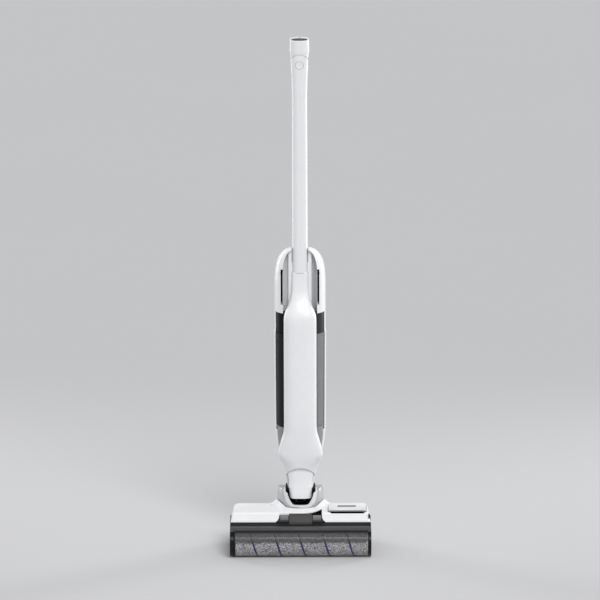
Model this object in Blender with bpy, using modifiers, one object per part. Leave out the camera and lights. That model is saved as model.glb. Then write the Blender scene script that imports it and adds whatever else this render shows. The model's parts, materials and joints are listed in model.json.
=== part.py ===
"""Cordless stick vacuum of the wet-and-dry floor washer kind.

Run with blender --background --python part.py, or from Blender's text editor.
Sizes below are in millimetres and MM turns them into metres. +X is to the right, -Y is the front, +Z is up.
The origin is on the floor, under the middle of the machine. The stick stands upright, locked over its head.
"""

import math

import bmesh
import bpy
from mathutils import Matrix, Vector

MM = 0.001
FIT = 0.3  # clearance between touching pieces

# ---- driving dimensions, mm ----
ROLLER_Y, ROLLER_Z, ROLLER_R = -64.0, 27.5, 27.5
ROLLER_LEFT, ROLLER_RIGHT = -134.2, 138.4
CORE_R = 20.0
WINDOW_R = 31.0
WINDOW_LOW = 17.0  # degrees from the roller's axis up to the window's lower edge
BAND_SLOPE = 18.6  # degrees by which the dark band rises towards the back
HEAD_HALF = 145.0  # half the head's width
CHEEK_R = 28.2
CHEEK_IN = 137.5  # inner face of the left cheek
BASE_TOP = 58.0
FACE_FOOT = (-44.8, 66.0)  # (y, z) lower edge of the white face
CREASE = (-36.8, 83.0)
COVER_BACK = (30.5, 85.0)
KEY_LEFT, KEY_RIGHT = 57.3, 134.7  # the roller cover's release key
KEY_LIP_Y, KEY_LIP_Z = -30.0, 88.4
TAIL_HALF = 66.0
TAIL_BACK = WINDOW_R * math.cos(math.radians(WINDOW_LOW)) - ROLLER_Y  # as far back as the window is forward
BASE_BACK = TAIL_BACK - 2.6  # the charging face
PITCH_Y, PITCH_Z = 42.0, 110.0  # axis on which the stick leans back
PIN_R = 5.0  # the pins on that axis
BOSS_R, BOSS_END = 13.0, 30.2  # round bosses on the neck, around the pins
STEER_Z, KNUCKLE_R = 133.0, 31.4  # axis on which the stick steers
STEER_R = 4.0
HOSE_Y = 44.0  # the hose's axis above the neck
FORK_R, FORK_INNER, HORN_TOP = 48.0, 31.0, 119.0
WHEEL_Y, WHEEL_R, WHEEL_IN, WHEEL_OUT = 60.0, 26.0, 69.0, 85.0
AXLE_R, HUB_R = 2.0, 17.0
MOTOR_Y, MOTOR_Z, MOTOR_R = 3.0, 36.0, 14.0
PULLEY_R, PINION_R = 12.5, 6.0
PULLEY_LEFT, PULLEY_RIGHT = -142.4, -138.2
DOG_R, STUB_R, SHAFT_R = 8.0, 6.0, 1.9
CONTACT_X, CONTACT_Z, CONTACT_R = 14.0, 34.0, 3.0  # charging contacts
BODY_Y = 34.0  # the stick's centre line
BODY_POWER, COLUMN_POWER, POLE_POWER, NECK_POWER = 2.2, 3.2, 2.6, 2.8  # how square each oval is
COLUMN_FRONT, COLUMN_BACK, COLUMN_HALF = -14.0, 27.7, 33.6
LEDGE_Z = 197.0  # where the lower rear shell sits on the front shell
TANK_FOOT, TANK_TOP = 243.6, 450.5
LID_TOP = 493.6
HOUSING_FOOT, HOUSING_TOP = 494.2, 629.0
TANK_MID_Y, TANK_DEPTH = 44.0, 43.0  # centre and half depth of the tanks' oval
PANEL_Y = 33.0  # front edge of the tanks' white back panels
TANK_TUCK = 2.4  # how far the tanks' sides lie inside those panels
CHANNEL_Y, SPINE_Y, SPINE_HALF = 30.0, 23.0, 24.3  # grooves beside the pole, and the spine between them
SUCTION_Y = 59.0  # the suction motor's axis
SLOT_X, SLOT_HALF = 36.4, 2.0  # the dark slots in the housing's front
POLE_FOOT, POLE_TOP = 583.4, 1025.0
POLE_FRONT, POLE_BACK = 16.0, 52.0
HANDLE_TOP = 1063.0
POWER_Z, POWER_R = 1012.0, 8.0
CLEAN_Y, CLEAN_R = 49.4, 3.0  # the self-clean key on the handle's top
GRIP_HALF, GRIP_LOW, GRIP_HIGH = 11.6, 870.4, 989.6
FAR = 150.0  # past the head's sides, for cutters
WALL = 2.4


# ---- scene ----
def clear_scene():
    for obj in list(bpy.data.objects):
        bpy.data.objects.remove(obj, do_unlink=True)


def new_collection(name):
    group = bpy.data.collections.new(name)
    bpy.context.scene.collection.children.link(group)
    return group


def finish(name, colour, roughness, metallic=0.0, alpha=1.0):
    """A Principled material."""
    mat = bpy.data.materials.new(name)
    mat.use_nodes = True
    shader = mat.node_tree.nodes["Principled BSDF"]
    shader.inputs["Base Color"].default_value = (*colour, 1.0)
    shader.inputs["Roughness"].default_value = roughness
    shader.inputs["Metallic"].default_value = metallic
    shader.inputs["Alpha"].default_value = alpha
    mat.diffuse_color = (*colour, 1.0)
    return mat


clear_scene()
PARTS = new_collection("cordless_stick_vacuum")
CUTTERS = new_collection("cutters")

WHITE = finish("white_plastic", (0.86, 0.87, 0.88), 0.35)
BLACK = finish("black_plastic", (0.02, 0.02, 0.022), 0.4)
GLOSS_BLACK = finish("gloss_black", (0.012, 0.012, 0.014), 0.12)
GREY = finish("grey_plastic", (0.3, 0.3, 0.31), 0.45)
SILVER = finish("satin_silver", (0.62, 0.63, 0.64), 0.3, 0.6)
STEEL = finish("steel", (0.55, 0.56, 0.58), 0.25, 1.0)
GOLD = finish("gold_plate", (0.8, 0.6, 0.25), 0.25, 1.0)
RUBBER = finish("rubber", (0.03, 0.03, 0.03), 0.8)
SMOKE = finish("smoked_plastic", (0.08, 0.08, 0.085), 0.1, 0.0, 0.6)
CLEAR = finish("clear_plastic", (0.45, 0.47, 0.5), 0.1, 0.0, 0.5)
NAP = finish("microfibre", (0.32, 0.32, 0.33), 0.95)
BATTERY = finish("battery_wrap", (0.05, 0.09, 0.2), 0.5)
BOARD = finish("circuit_board", (0.02, 0.16, 0.07), 0.5)
FILTER = finish("filter_paper", (0.75, 0.74, 0.7), 0.9)


def from_bmesh(mesh, name, mat=None):
    """A part, or a cutter where no material is given."""
    data = bpy.data.meshes.new(name)
    bmesh.ops.recalc_face_normals(mesh, faces=mesh.faces)
    mesh.to_mesh(data)
    mesh.free()
    obj = bpy.data.objects.new(name, data)
    if mat:
        data.materials.append(mat)
        PARTS.objects.link(obj)
    else:
        as_cutter(obj)
    return obj


def as_cutter(obj):
    for group in list(obj.users_collection):
        group.objects.unlink(obj)
    CUTTERS.objects.link(obj)
    obj.hide_render = True
    obj.display_type = "WIRE"


# ---- shapes ----
def box(name, low, high, mat=None):
    mesh = bmesh.new()
    low, high = Vector(low) * MM, Vector(high) * MM
    size = Matrix.Diagonal((*(high - low), 1.0))
    bmesh.ops.create_cube(mesh, size=1.0, matrix=Matrix.Translation((low + high) / 2) @ size)
    return from_bmesh(mesh, name, mat)


def rod(name, radius, start, end, mat=None, sides=20, end_radius=None):
    """A cylinder or cone between two points."""
    mesh = bmesh.new()
    start, end = Vector(start) * MM, Vector(end) * MM
    turn = (end - start).to_track_quat("Z", "Y").to_matrix().to_4x4()
    bmesh.ops.create_cone(
        mesh, cap_ends=True, segments=sides, radius1=radius * MM,
        radius2=(radius if end_radius is None else end_radius) * MM,
        depth=(end - start).length, matrix=Matrix.Translation((start + end) / 2) @ turn,
    )
    return from_bmesh(mesh, name, mat)


def plate(name, axis, low, high, *outlines, mat=None):
    """Flat outlines, the later ones holes, thickened along an axis.

    Outline points are (y, z) for axis X, (x, z) for axis Y and (x, y) for axis Z.
    """
    curve = bpy.data.curves.new(name, "CURVE")
    curve.dimensions = "2D"
    curve.fill_mode = "BOTH"
    curve.extrude = (high - low) / 2 * MM
    for outline in outlines:
        spline = curve.splines.new("POLY")
        spline.points.add(len(outline) - 1)
        spline.use_cyclic_u = True
        for point, (u, v) in zip(spline.points, outline):
            point.co = (u * MM, v * MM, 0.0, 1.0)
    flat = bpy.data.objects.new(name + "_outline", curve)
    bpy.context.scene.collection.objects.link(flat)
    columns = {
        "X": ((0, 1, 0), (0, 0, 1), (1, 0, 0)),
        "Y": ((1, 0, 0), (0, 0, 1), (0, -1, 0)),
        "Z": ((1, 0, 0), (0, 1, 0), (0, 0, 1)),
    }[axis]
    turn = Matrix([Vector(c) for c in columns]).transposed().to_4x4()
    middle = Vector({"X": (1, 0, 0), "Y": (0, 1, 0), "Z": (0, 0, 1)}[axis]) * (low + high) / 2 * MM
    depsgraph = bpy.context.evaluated_depsgraph_get()
    depsgraph.update()
    data = bpy.data.meshes.new_from_object(flat.evaluated_get(depsgraph))
    bpy.data.objects.remove(flat, do_unlink=True)
    mesh = bmesh.new()
    mesh.from_mesh(data)
    bpy.data.meshes.remove(data)
    bmesh.ops.remove_doubles(mesh, verts=mesh.verts, dist=1e-6)
    mesh.transform(Matrix.Translation(middle) @ turn)
    return from_bmesh(mesh, name, mat)


def loft(name, rings, mat=None):
    """A closed skin over rings of points, one above the other."""
    mesh = bmesh.new()
    rows = [[mesh.verts.new(Vector(p) * MM) for p in ring] for ring in rings]
    count = len(rows[0])
    for lower, upper in zip(rows, rows[1:]):
        for i in range(count):
            j = (i + 1) % count
            mesh.faces.new((lower[i], lower[j], upper[j], upper[i]))
    mesh.faces.new(reversed(rows[0]))
    mesh.faces.new(rows[-1])
    return from_bmesh(mesh, name, mat)


def oval(z, half_width, front, back, power=2.3, count=28):
    """A level superellipse ring between two y values."""
    middle, half_depth = (front + back) / 2, (back - front) / 2
    ring = []
    for i in range(count):
        angle = 2 * math.pi * i / count
        c, s = math.cos(angle), math.sin(angle)
        x = half_width * math.copysign(abs(c) ** (2 / power), c)
        y = middle + half_depth * math.copysign(abs(s) ** (2 / power), s)
        ring.append((x, y, z))
    return ring


def arc(centre, radius, start, end, steps):
    """Points along an arc, angles in degrees."""
    turns = [math.radians(start + (end - start) * i / steps) for i in range(steps + 1)]
    return [(centre[0] + radius * math.cos(t), centre[1] + radius * math.sin(t)) for t in turns]


def between(table, z, column):
    """The table's value at height z, read along straight lines."""
    for low, high in zip(table, table[1:]):
        if z <= high[0]:
            share = max(0.0, (z - low[0]) / (high[0] - low[0]))
            return low[column] + share * (high[column] - low[column])
    return table[-1][column]


# ---- cutting and joining ----
def boolean(obj, tools, operation):
    for tool in tools:
        as_cutter(tool)
        modifier = obj.modifiers.new(operation.lower(), "BOOLEAN")
        modifier.object = tool
        modifier.operation = operation
        modifier.solver = "EXACT"
    return obj


def cut(obj, *tools):
    return boolean(obj, tools, "DIFFERENCE")


def join(obj, *tools):
    return boolean(obj, tools, "UNION")


def keep(obj, *tools):
    return boolean(obj, tools, "INTERSECT")


def ease(obj, width, segments=1, angle=40.0):
    """Rounded edges."""
    bevel = obj.modifiers.new("edges", "BEVEL")
    bevel.width = width * MM
    bevel.segments = segments
    bevel.limit_method = "ANGLE"
    bevel.angle_limit = math.radians(angle)
    return obj


def pivot(obj, point):
    """Moves an object's origin, so that it turns or slides about its joint."""
    point = Vector(point) * MM
    obj.data.transform(Matrix.Translation(-point))
    obj.matrix_world = Matrix.Translation(point)
    return obj


# ---- head: outlines ----
ROLLER_AXIS = (ROLLER_Y, ROLLER_Z)
MOTOR_AXIS = (MOTOR_Y, MOTOR_Z)


def cheek_outline(inset=0.0, back=30.0):
    """Side plate around the roller's end: round in front, square behind."""
    radius = CHEEK_R - inset
    foot = 180.0 + math.degrees(math.asin((ROLLER_Z - 2.5 - inset) / radius))
    points = arc(ROLLER_AXIS, radius, 72.0, foot, 14)
    points += [(-30.0 + inset, 2.5 + inset), (back - 4.0, 4.5 + inset), (back - inset, 9.0 + inset)]
    return points + [(back - inset, BASE_TOP - inset), (-46.0 + inset, BASE_TOP - inset)]


def window_point(radius, degrees):
    turn = math.radians(180.0 - degrees)
    return ROLLER_Y + radius * math.cos(turn), ROLLER_Z + radius * math.sin(turn)


def fork_outline(radius, back, half=None):
    """Plan of the fork cup: half a circle in front, straight sides behind."""
    half = half or radius
    start = math.degrees(math.acos(half / radius))
    front = arc((0.0, PITCH_Y), radius, 180.0 + start, 360.0 - start, 16)
    return front + [(half, back), (-half, back)]


def belt_outline(extra):
    """A loop round the pulley and the pinion."""
    span = Vector((MOTOR_Y - ROLLER_Y, MOTOR_Z - ROLLER_Z))
    lean = math.degrees(math.atan2(span.y, span.x))
    open_angle = math.degrees(math.acos((PULLEY_R - PINION_R) / span.length))
    big = arc(ROLLER_AXIS, PULLEY_R + extra, lean + open_angle, lean + 360.0 - open_angle, 16)
    small = arc((MOTOR_Y, MOTOR_Z), PINION_R + extra, lean - open_angle, lean + open_angle, 8)
    return big + small


# ---- head: fixed pieces ----
def head_base():
    base = plate("head_base", "X", -CHEEK_IN, HEAD_HALF - 0.6, [
        (-29.5, 12.0), (-26.0, 6.0), (28.0, 6.0), (30.0, 9.0), (30.0, BASE_TOP), (-29.5, BASE_TOP),
    ], mat=BLACK)
    cheek = plate("cheek", "X", -CHEEK_IN, -135.0, cheek_outline())
    tail = plate("tail", "X", -TAIL_HALF, TAIL_HALF, [
        (25.0, 9.0), (82.0, 9.0), (BASE_BACK, 17.0), (BASE_BACK, BASE_TOP), (25.0, BASE_TOP),
    ])
    ceiling = box("roller_ceiling", (-137.0, -43.0, 55.5), (HEAD_HALF - 1.0, -29.0, BASE_TOP))
    join(base, cheek, tail, ceiling)
    bays = [
        box("motor_bay", (-135.0, -27.0, 9.0), (-58.0, 27.5, 70.0)),
        box("right_bay", (58.0, -27.0, 9.0), (141.5, 27.5, 70.0)),
        box("duct_bay", (-38.0, -27.0, 9.0), (38.0, 77.0, 70.0)),
        box("tail_bay_left", (-63.5, 30.0, 14.0), (-50.5, BASE_BACK - 3.0, 70.0)),
        box("tail_bay_right", (50.5, 30.0, 14.0), (63.5, BASE_BACK - 3.0, 70.0)),
        box("suction_slot", (-45.0, -40.0, 18.0), (45.0, -20.0, 32.0)),
        rod("axle_bore", AXLE_R + 0.4, (-80.0, WHEEL_Y, WHEEL_R), (80.0, WHEEL_Y, WHEEL_R), sides=12),
        rod("dog_bore", DOG_R + 1.6, (-FAR, *ROLLER_AXIS), (-130.0, *ROLLER_AXIS), sides=20),
        rod("shaft_bore", SHAFT_R + 0.7, (-FAR, *MOTOR_AXIS), (-130.0, *MOTOR_AXIS), sides=12),
    ]
    bays += [
        rod("contact_bore", CONTACT_R + 0.4, (x, 70.0, CONTACT_Z), (x, 99.0, CONTACT_Z), sides=12)
        for x in (-CONTACT_X, CONTACT_X)
    ]
    return cut(base, *bays)


def gear_side_cover():
    cover = plate("gear_side_cover", "X", -HEAD_HALF, -137.8, cheek_outline(), mat=GLOSS_BLACK)
    return cut(cover, plate("gear_space", "X", -143.0, -130.0, cheek_outline(WALL)))


def head_top_cover():
    outer = [(-44.8, BASE_TOP + FIT), FACE_FOOT, CREASE, COVER_BACK, (31.0, 83.6), (31.0, BASE_TOP + FIT)]
    inner = [(-42.4, 40.0), (-42.4, 65.6), (-35.2, 80.6), (28.4, 82.6), (28.4, 40.0)]
    tail_outer = [(20.0, BASE_TOP + FIT), (20.0, 84.6), (30.0, 84.6), (89.0, 67.0),
                  (TAIL_BACK, 64.0), (TAIL_BACK, BASE_TOP + FIT)]
    tail_inner = [(15.0, 40.0), (15.0, 82.2), (29.0, 82.2), (88.0, 64.6), (91.2, 62.0), (91.2, 40.0)]
    cover = plate("head_top_cover", "X", -HEAD_HALF, HEAD_HALF, outer, mat=WHITE)
    plan = []
    for side in (1, -1):
        edge = [(144.7, -46.0), (141.0, -37.0), (138.5, 10.0), (136.5, 24.0), (131.0, 32.0)]
        edge = [(side * x, y) for x, y in edge]
        plan += edge if side > 0 else edge[::-1]
    keep(cover, plate("cover_plan", "Z", 40.0, 100.0, plan))
    join(cover, plate("tail_roof", "X", -TAIL_HALF, TAIL_HALF, tail_outer))
    cut(
        cover,
        plate("cover_hollow", "X", -134.0, 134.0, inner),
        plate("tail_hollow", "X", -TAIL_HALF + WALL, TAIL_HALF - WALL, tail_inner),
        plate("fork_recess", "Z", 40.0, 100.0, fork_outline(FORK_R + 2.2, 70.3)),
        box("face_notch", (-45.5, -60.0, 50.0), (45.5, CREASE[0] - 0.1, 95.0)),
        box("release_notch", (KEY_LEFT - 0.8, -50.0, 78.6), (KEY_RIGHT + 0.8, 14.0, 95.0)),
    )
    return cover


def swivel_fork():
    fork = plate("swivel_fork", "Z", BASE_TOP + FIT, HORN_TOP, fork_outline(FORK_R, 68.5), mat=SILVER)
    side = [(-10.0, 50.0), (-10.0, 93.0), (-4.0, 93.5), (8.0, 98.0), (20.0, 105.0), (29.0, 113.5),
            (35.0, 118.0), (42.0, 119.5), (48.0, 117.5), (54.0, 112.0), (60.0, 100.0), (66.0, 86.0),
            (70.0, 80.0), (70.0, 50.0)]
    keep(fork, plate("fork_side", "X", -60.0, 60.0, side))
    mouth = [(-FORK_INNER, 130.0), (-FORK_INNER, 108.0), (-27.0, 99.0), (-18.0, 93.2)]
    mouth += [(-x, z) for x, z in reversed(mouth)]
    cut(
        fork,
        plate("fork_mouth", "Y", -20.0, 30.0, mouth),
        plate("fork_bowl", "Z", 78.0, 130.0, fork_outline(44.0, 80.0, FORK_INNER)),
        rod("hose_bore", 11.6, (0.0, PITCH_Y, 50.0), (0.0, PITCH_Y, 90.0)),
        rod("pitch_bore", PIN_R + FIT, (-60.0, PITCH_Y, PITCH_Z), (60.0, PITCH_Y, PITCH_Z), sides=16),
    )
    return join(fork, box("fork_rear_wall", (-FORK_INNER - 2.0, 61.5, 74.0), (FORK_INNER + 2.0, 64.5, 90.5)))


def pitch_pin(side, name):
    return rod(name, PIN_R, (side * 24.5, PITCH_Y, PITCH_Z), (side * 46.0, PITCH_Y, PITCH_Z), STEEL, 16)


def head_fittings():
    motor = rod("roller_motor", MOTOR_R, (-134.4, *MOTOR_AXIS), (-64.0, *MOTOR_AXIS), STEEL)
    cut(motor, rod("motor_nose", SHAFT_R + 0.6, (-140.0, *MOTOR_AXIS), (-128.0, *MOTOR_AXIS), sides=12))
    rod("water_spray_bar", 2.8, (-125.0, -40.0, 51.5), (125.0, -40.0, 51.5), GREY, 10)
    box("roller_scraper", (-133.0, -39.0, 40.0), (137.0, -29.8, 41.6), RUBBER)
    box("floor_squeegee", (-130.0, -32.4, 0.0), (134.0, -29.8, 15.0), RUBBER)
    duct = box("suction_duct", (-37.5, -26.6, 9.4), (37.5, 56.0, 36.0), GREY)
    cut(
        duct,
        box("duct_way", (-35.5, -30.0, 11.4), (35.5, 54.0, 34.0)),
        rod("duct_port", 8.4, (0.0, PITCH_Y, 30.0), (0.0, PITCH_Y, 40.0)),
    )
    hose = rod("head_hose", 10.6, (0.0, PITCH_Y, 36.4), (0.0, PITCH_Y, 86.0), BLACK)
    cut(hose, rod("head_hose_way", 8.6, (0.0, PITCH_Y, 30.0), (0.0, PITCH_Y, 90.0)))
    rod("wheel_axle", AXLE_R, (-WHEEL_OUT, WHEEL_Y, WHEEL_R), (WHEEL_OUT, WHEEL_Y, WHEEL_R), STEEL, 12)
    for x, name in ((-CONTACT_X, "dock_contact_left"), (CONTACT_X, "dock_contact_right")):
        rod(name, CONTACT_R, (x, 78.0, CONTACT_Z), (x, BASE_BACK - 0.2, CONTACT_Z), GOLD, 12)
    plate("drive_belt", "X", PULLEY_LEFT + 0.1, PULLEY_RIGHT - 0.4, belt_outline(1.9), belt_outline(0.4),
          mat=RUBBER)


# ---- head: moving pieces ----
def roller():
    cap = plate("roller_end_cap", "X", 139.0, HEAD_HALF, cheek_outline(back=0.0)[:-5] + [
        (-30.0, 2.5), (-30.0, BASE_TOP - 3.0), (-46.0, BASE_TOP - 3.0)], mat=GLOSS_BLACK)
    join(cap, rod("end_stub", STUB_R, (130.0, *ROLLER_AXIS), (142.0, *ROLLER_AXIS), sides=16))
    pivot(cap, (HEAD_HALF, *ROLLER_AXIS))
    left, right = (ROLLER_LEFT, *ROLLER_AXIS), (ROLLER_RIGHT, *ROLLER_AXIS)
    core = rod("roller_core", CORE_R, left, right, GREY, 24)
    cut(
        core,
        rod("dog_socket", DOG_R + 0.6, (-FAR, *ROLLER_AXIS), (-120.0, *ROLLER_AXIS), sides=6),
        rod("stub_socket", STUB_R + 0.4, (129.0, *ROLLER_AXIS), (FAR, *ROLLER_AXIS), sides=16),
    )
    pivot(core, (0.0, *ROLLER_AXIS))
    sleeve = rod("roller_sleeve", ROLLER_R, left, right, NAP, 32)
    cut(sleeve, rod("sleeve_bore", CORE_R + 0.4, (-FAR, *ROLLER_AXIS), (FAR, *ROLLER_AXIS), sides=24))
    pivot(sleeve, (0.0, *ROLLER_AXIS))


def drive():
    left, right = (PULLEY_LEFT, *ROLLER_AXIS), (PULLEY_RIGHT, *ROLLER_AXIS)
    pulley = rod("drive_pulley", PULLEY_R, left, right, GREY, 24)
    join(pulley, rod("drive_dog", DOG_R, (-140.0, *ROLLER_AXIS), (-123.0, *ROLLER_AXIS), sides=6))
    pivot(pulley, (-140.0, *ROLLER_AXIS))
    left, right = (PULLEY_LEFT, *MOTOR_AXIS), (PULLEY_RIGHT, *MOTOR_AXIS)
    pinion = rod("motor_pinion", PINION_R, left, right, STEEL, 16)
    join(pinion, rod("motor_shaft", SHAFT_R, (-140.0, *MOTOR_AXIS), (-129.0, *MOTOR_AXIS), sides=12))
    pivot(pinion, (-140.0, MOTOR_Y, MOTOR_Z))


def roller_cover():
    """The dark frame across the head and its clear window lift off together."""
    slope = math.radians(BAND_SLOPE)
    normal = (-math.sin(slope), math.cos(slope))
    along = (math.cos(slope), math.sin(slope))

    def band(t, depth):
        distance = WINDOW_R - depth
        return ROLLER_Y + distance * normal[0] + t * along[0], ROLLER_Z + distance * normal[1] + t * along[1]

    back = FACE_FOOT[0] - 0.5
    span = (back - band(0.0, 0.0)[0]) / along[0]
    profile = [band(-2.5, 0.2), band(span, 0.0), (back, 59.0), (back - 1.8, 59.0), band(span - 2.2, 2.1),
               band(-2.5, 2.1)]
    frame = plate("roller_cover_frame", "X", -HEAD_HALF, HEAD_HALF, profile, mat=GLOSS_BLACK)
    top = band(span, 0.0)
    tongue = [(top[0] - 3.0, top[1] - 2.0), (top[0] - 3.0, top[1] - 0.5), (-38.6, 81.2), (-37.4, 81.2),
              (back, 62.0)]
    join(frame, plate("latch_tongue", "X", -44.9, 44.9, tongue))
    rise = [WINDOW_LOW + 6.0 * i for i in range(9)]
    sector = [window_point(WINDOW_R, a) for a in rise]
    sector += [window_point(WINDOW_R - 1.8, a) for a in reversed(rise)]
    plate("roller_window", "X", -134.5, 137.5, sector, mat=SMOKE)


def cover_release_button():
    """A key with a raised front lip, level with the cover behind."""
    side = [(KEY_LIP_Y, 84.9), (-37.4, 83.6), (-37.4, 81.9), (13.2, 81.9), (13.2, 85.0), (0.0, 85.8),
            (-16.0, 87.2), (KEY_LIP_Y + 0.4, KEY_LIP_Z)]
    button = plate("cover_release_button", "X", KEY_LEFT, KEY_RIGHT, side, mat=WHITE)
    return ease(button, 0.8)


def wheel(side, name):
    inner, outer = side * WHEEL_IN, side * WHEEL_OUT
    ends = (inner, WHEEL_Y, WHEEL_R), (outer, WHEEL_Y, WHEEL_R)
    near, far = (side * 60.0, WHEEL_Y, WHEEL_R), (side * 95.0, WHEEL_Y, WHEEL_R)
    hub = rod("wheel_hub_" + name, HUB_R, *ends, GREY, 20)
    cut(hub, rod("hub_bore_" + name, AXLE_R + 0.35, near, far, sides=12))
    pivot(hub, (inner, WHEEL_Y, WHEEL_R))
    tyre = rod("wheel_tyre_" + name, WHEEL_R, *ends, RUBBER, 32)
    cut(tyre, rod("tyre_bore_" + name, HUB_R + 0.4, near, far, sides=20))
    pivot(tyre, (inner, WHEEL_Y, WHEEL_R))


# ---- neck ----
def neck():
    rows = [(99.6, 23.0), (112.0, 23.4), (119.0, 24.4), (124.0, 26.6), (128.0, 27.4), (136.0, 28.3),
            (144.0, 29.9), (150.0, KNUCKLE_R), (170.0, KNUCKLE_R)]
    knuckle = loft("neck_knuckle", [oval(z, a, 6.0, 62.0, NECK_POWER) for z, a in rows], WHITE)
    pivot(knuckle, (0.0, PITCH_Y, PITCH_Z))
    crown = rod("knuckle_crown", KNUCKLE_R, (0.0, -20.0, STEER_Z), (0.0, 90.0, STEER_Z), sides=64)
    join(crown, box("knuckle_below", (-60.0, -20.0, 80.0), (60.0, 90.0, STEER_Z + 6.0)))
    keep(knuckle, crown)
    for side in (-1, 1):
        join(knuckle, rod("pitch_boss", BOSS_R, (side * 18.0, PITCH_Y, PITCH_Z),
                          (side * BOSS_END, PITCH_Y, PITCH_Z)))
    cut(
        knuckle,
        box("yoke_slot", (-60.0, 13.6, STEER_Z - 10.6), (60.0, 24.4, 190.0)),
        rod("neck_way", 10.8, (0.0, HOSE_Y, 90.0), (0.0, HOSE_Y, 190.0)),
        rod("steer_bore", STEER_R + FIT, (0.0, 9.0, STEER_Z), (0.0, 32.0, STEER_Z), sides=16),
    )
    for side in (-1, 1):
        cut(knuckle, rod("trunnion_bore", PIN_R + FIT, (side * 24.0, PITCH_Y, PITCH_Z),
                         (side * 40.0, PITCH_Y, PITCH_Z), sides=16))
    hose = rod("neck_hose", 10.2, (0.0, HOSE_Y, 108.0), (0.0, HOSE_Y, 160.0), BLACK)
    cut(hose, rod("neck_hose_way", 8.4, (0.0, HOSE_Y, 100.0), (0.0, HOSE_Y, 170.0)))
    rod("steer_pin", STEER_R, (0.0, 9.4, STEER_Z), (0.0, 31.0, STEER_Z), STEEL, 16)


# ---- stick body ----
COLUMN = [  # height, half width, front
    (LEDGE_Z + 0.1, 45.9, -5.5), (204.0, 45.0, -6.5), (222.0, 40.6, -9.0), (249.0, 34.2, -12.0),
    (262.0, COLUMN_HALF, -13.2), (300.0, COLUMN_HALF, COLUMN_FRONT), (470.0, COLUMN_HALF, COLUMN_FRONT),
    (488.0, 33.2, -12.4), (499.0, 30.2, -8.4), (511.0, 24.8, -1.6), (524.0, 19.6, 6.2),
    (541.0, 17.2, 12.4), (POLE_FOOT - 0.4, 16.8, POLE_FRONT),
]
SKIRT = [  # height, half width, front, back
    (147.0, 31.0, 5.6, 62.4), (154.0, 33.0, 4.0, 64.0), (162.0, 35.9, 2.0, 67.0), (175.0, 40.6, -1.0, 71.0),
    (186.0, 44.6, -3.5, 74.5), (192.0, 46.3, -4.6, 76.0), (LEDGE_Z, 46.0, -5.5, 77.0),
]


def front_shell():
    rings = [oval(z, a, f, b, POLE_POWER) for z, a, f, b in SKIRT] + [
        oval(z, a, f, COLUMN_BACK, COLUMN_POWER) for z, a, f in COLUMN]
    shell = loft("front_column", rings, WHITE)
    hollow = [oval(z - 1.5 * (z > 190), a - WALL, f + WALL, b - WALL, POLE_POWER) for z, a, f, b in SKIRT]
    hollow[0] = [(x, y, 140.0) for x, y, _ in hollow[0]]
    hollow += [oval(z - (1.4 if z < 198 else 0.0), a - WALL, f + WALL, COLUMN_BACK - WALL, COLUMN_POWER)
               for z, a, f in COLUMN[:-2]]
    cut(
        shell,
        loft("column_hollow", hollow),
        rod("knuckle_space", KNUCKLE_R + 0.5, (0.0, -20.0, STEER_Z), (0.0, 90.0, STEER_Z), sides=64),
        rod("riser_hole", 11.0, (0.0, HOSE_Y, 180.0), (0.0, HOSE_Y, 210.0)),
        box("back_opening", (-26.0, 20.0, 262.0), (26.0, 40.0, 488.0)),
    )
    box("column_back_plate", (-25.6, COLUMN_BACK - WALL, 262.4), (25.6, COLUMN_BACK, 487.6), GREY)
    return shell


def swivel_yoke():
    tongue = arc((0.0, STEER_Z), 10.0, 180.0, 360.0, 10) + [(10.0, 172.0), (-10.0, 172.0)]
    yoke = plate("swivel_yoke", "Y", 14.0, 24.0, tongue, mat=SILVER)
    join(yoke, loft("yoke_floor", [oval(z, 34.5, 3.0, 63.0, POLE_POWER) for z in (169.5, 173.5)]))
    return cut(
        yoke,
        rod("yoke_bore", STEER_R + FIT, (0.0, 10.0, STEER_Z), (0.0, 30.0, STEER_Z), sides=16),
        rod("yoke_riser_hole", 11.0, (0.0, HOSE_Y, 160.0), (0.0, HOSE_Y, 180.0)),
    )


TANK_SIDES = [  # height, half width of the stick body behind the column
    (LEDGE_Z, 46.0), (205.0, 47.4), (218.0, 49.6), (231.0, 51.4), (244.0, 52.2), (257.0, 52.6),
    (346.0, 53.1), (TANK_TOP, 53.5),
]
TANK_BACKS = [(LEDGE_Z, 77.4), (218.0, 83.0), (244.0, 86.4), (257.0, TANK_MID_Y + TANK_DEPTH),
              (TANK_TOP, TANK_MID_Y + TANK_DEPTH)]


def body_ring(z, inset=0.0, side_inset=None, count=28):
    """The oval that the lower shell, tanks and lids share."""
    side = between(TANK_SIDES, z, 1) - (inset if side_inset is None else side_inset)
    back = between(TANK_BACKS, z, 1) - inset
    return oval(z, side, TANK_MID_Y - TANK_DEPTH + inset, back, BODY_POWER, count)


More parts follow.
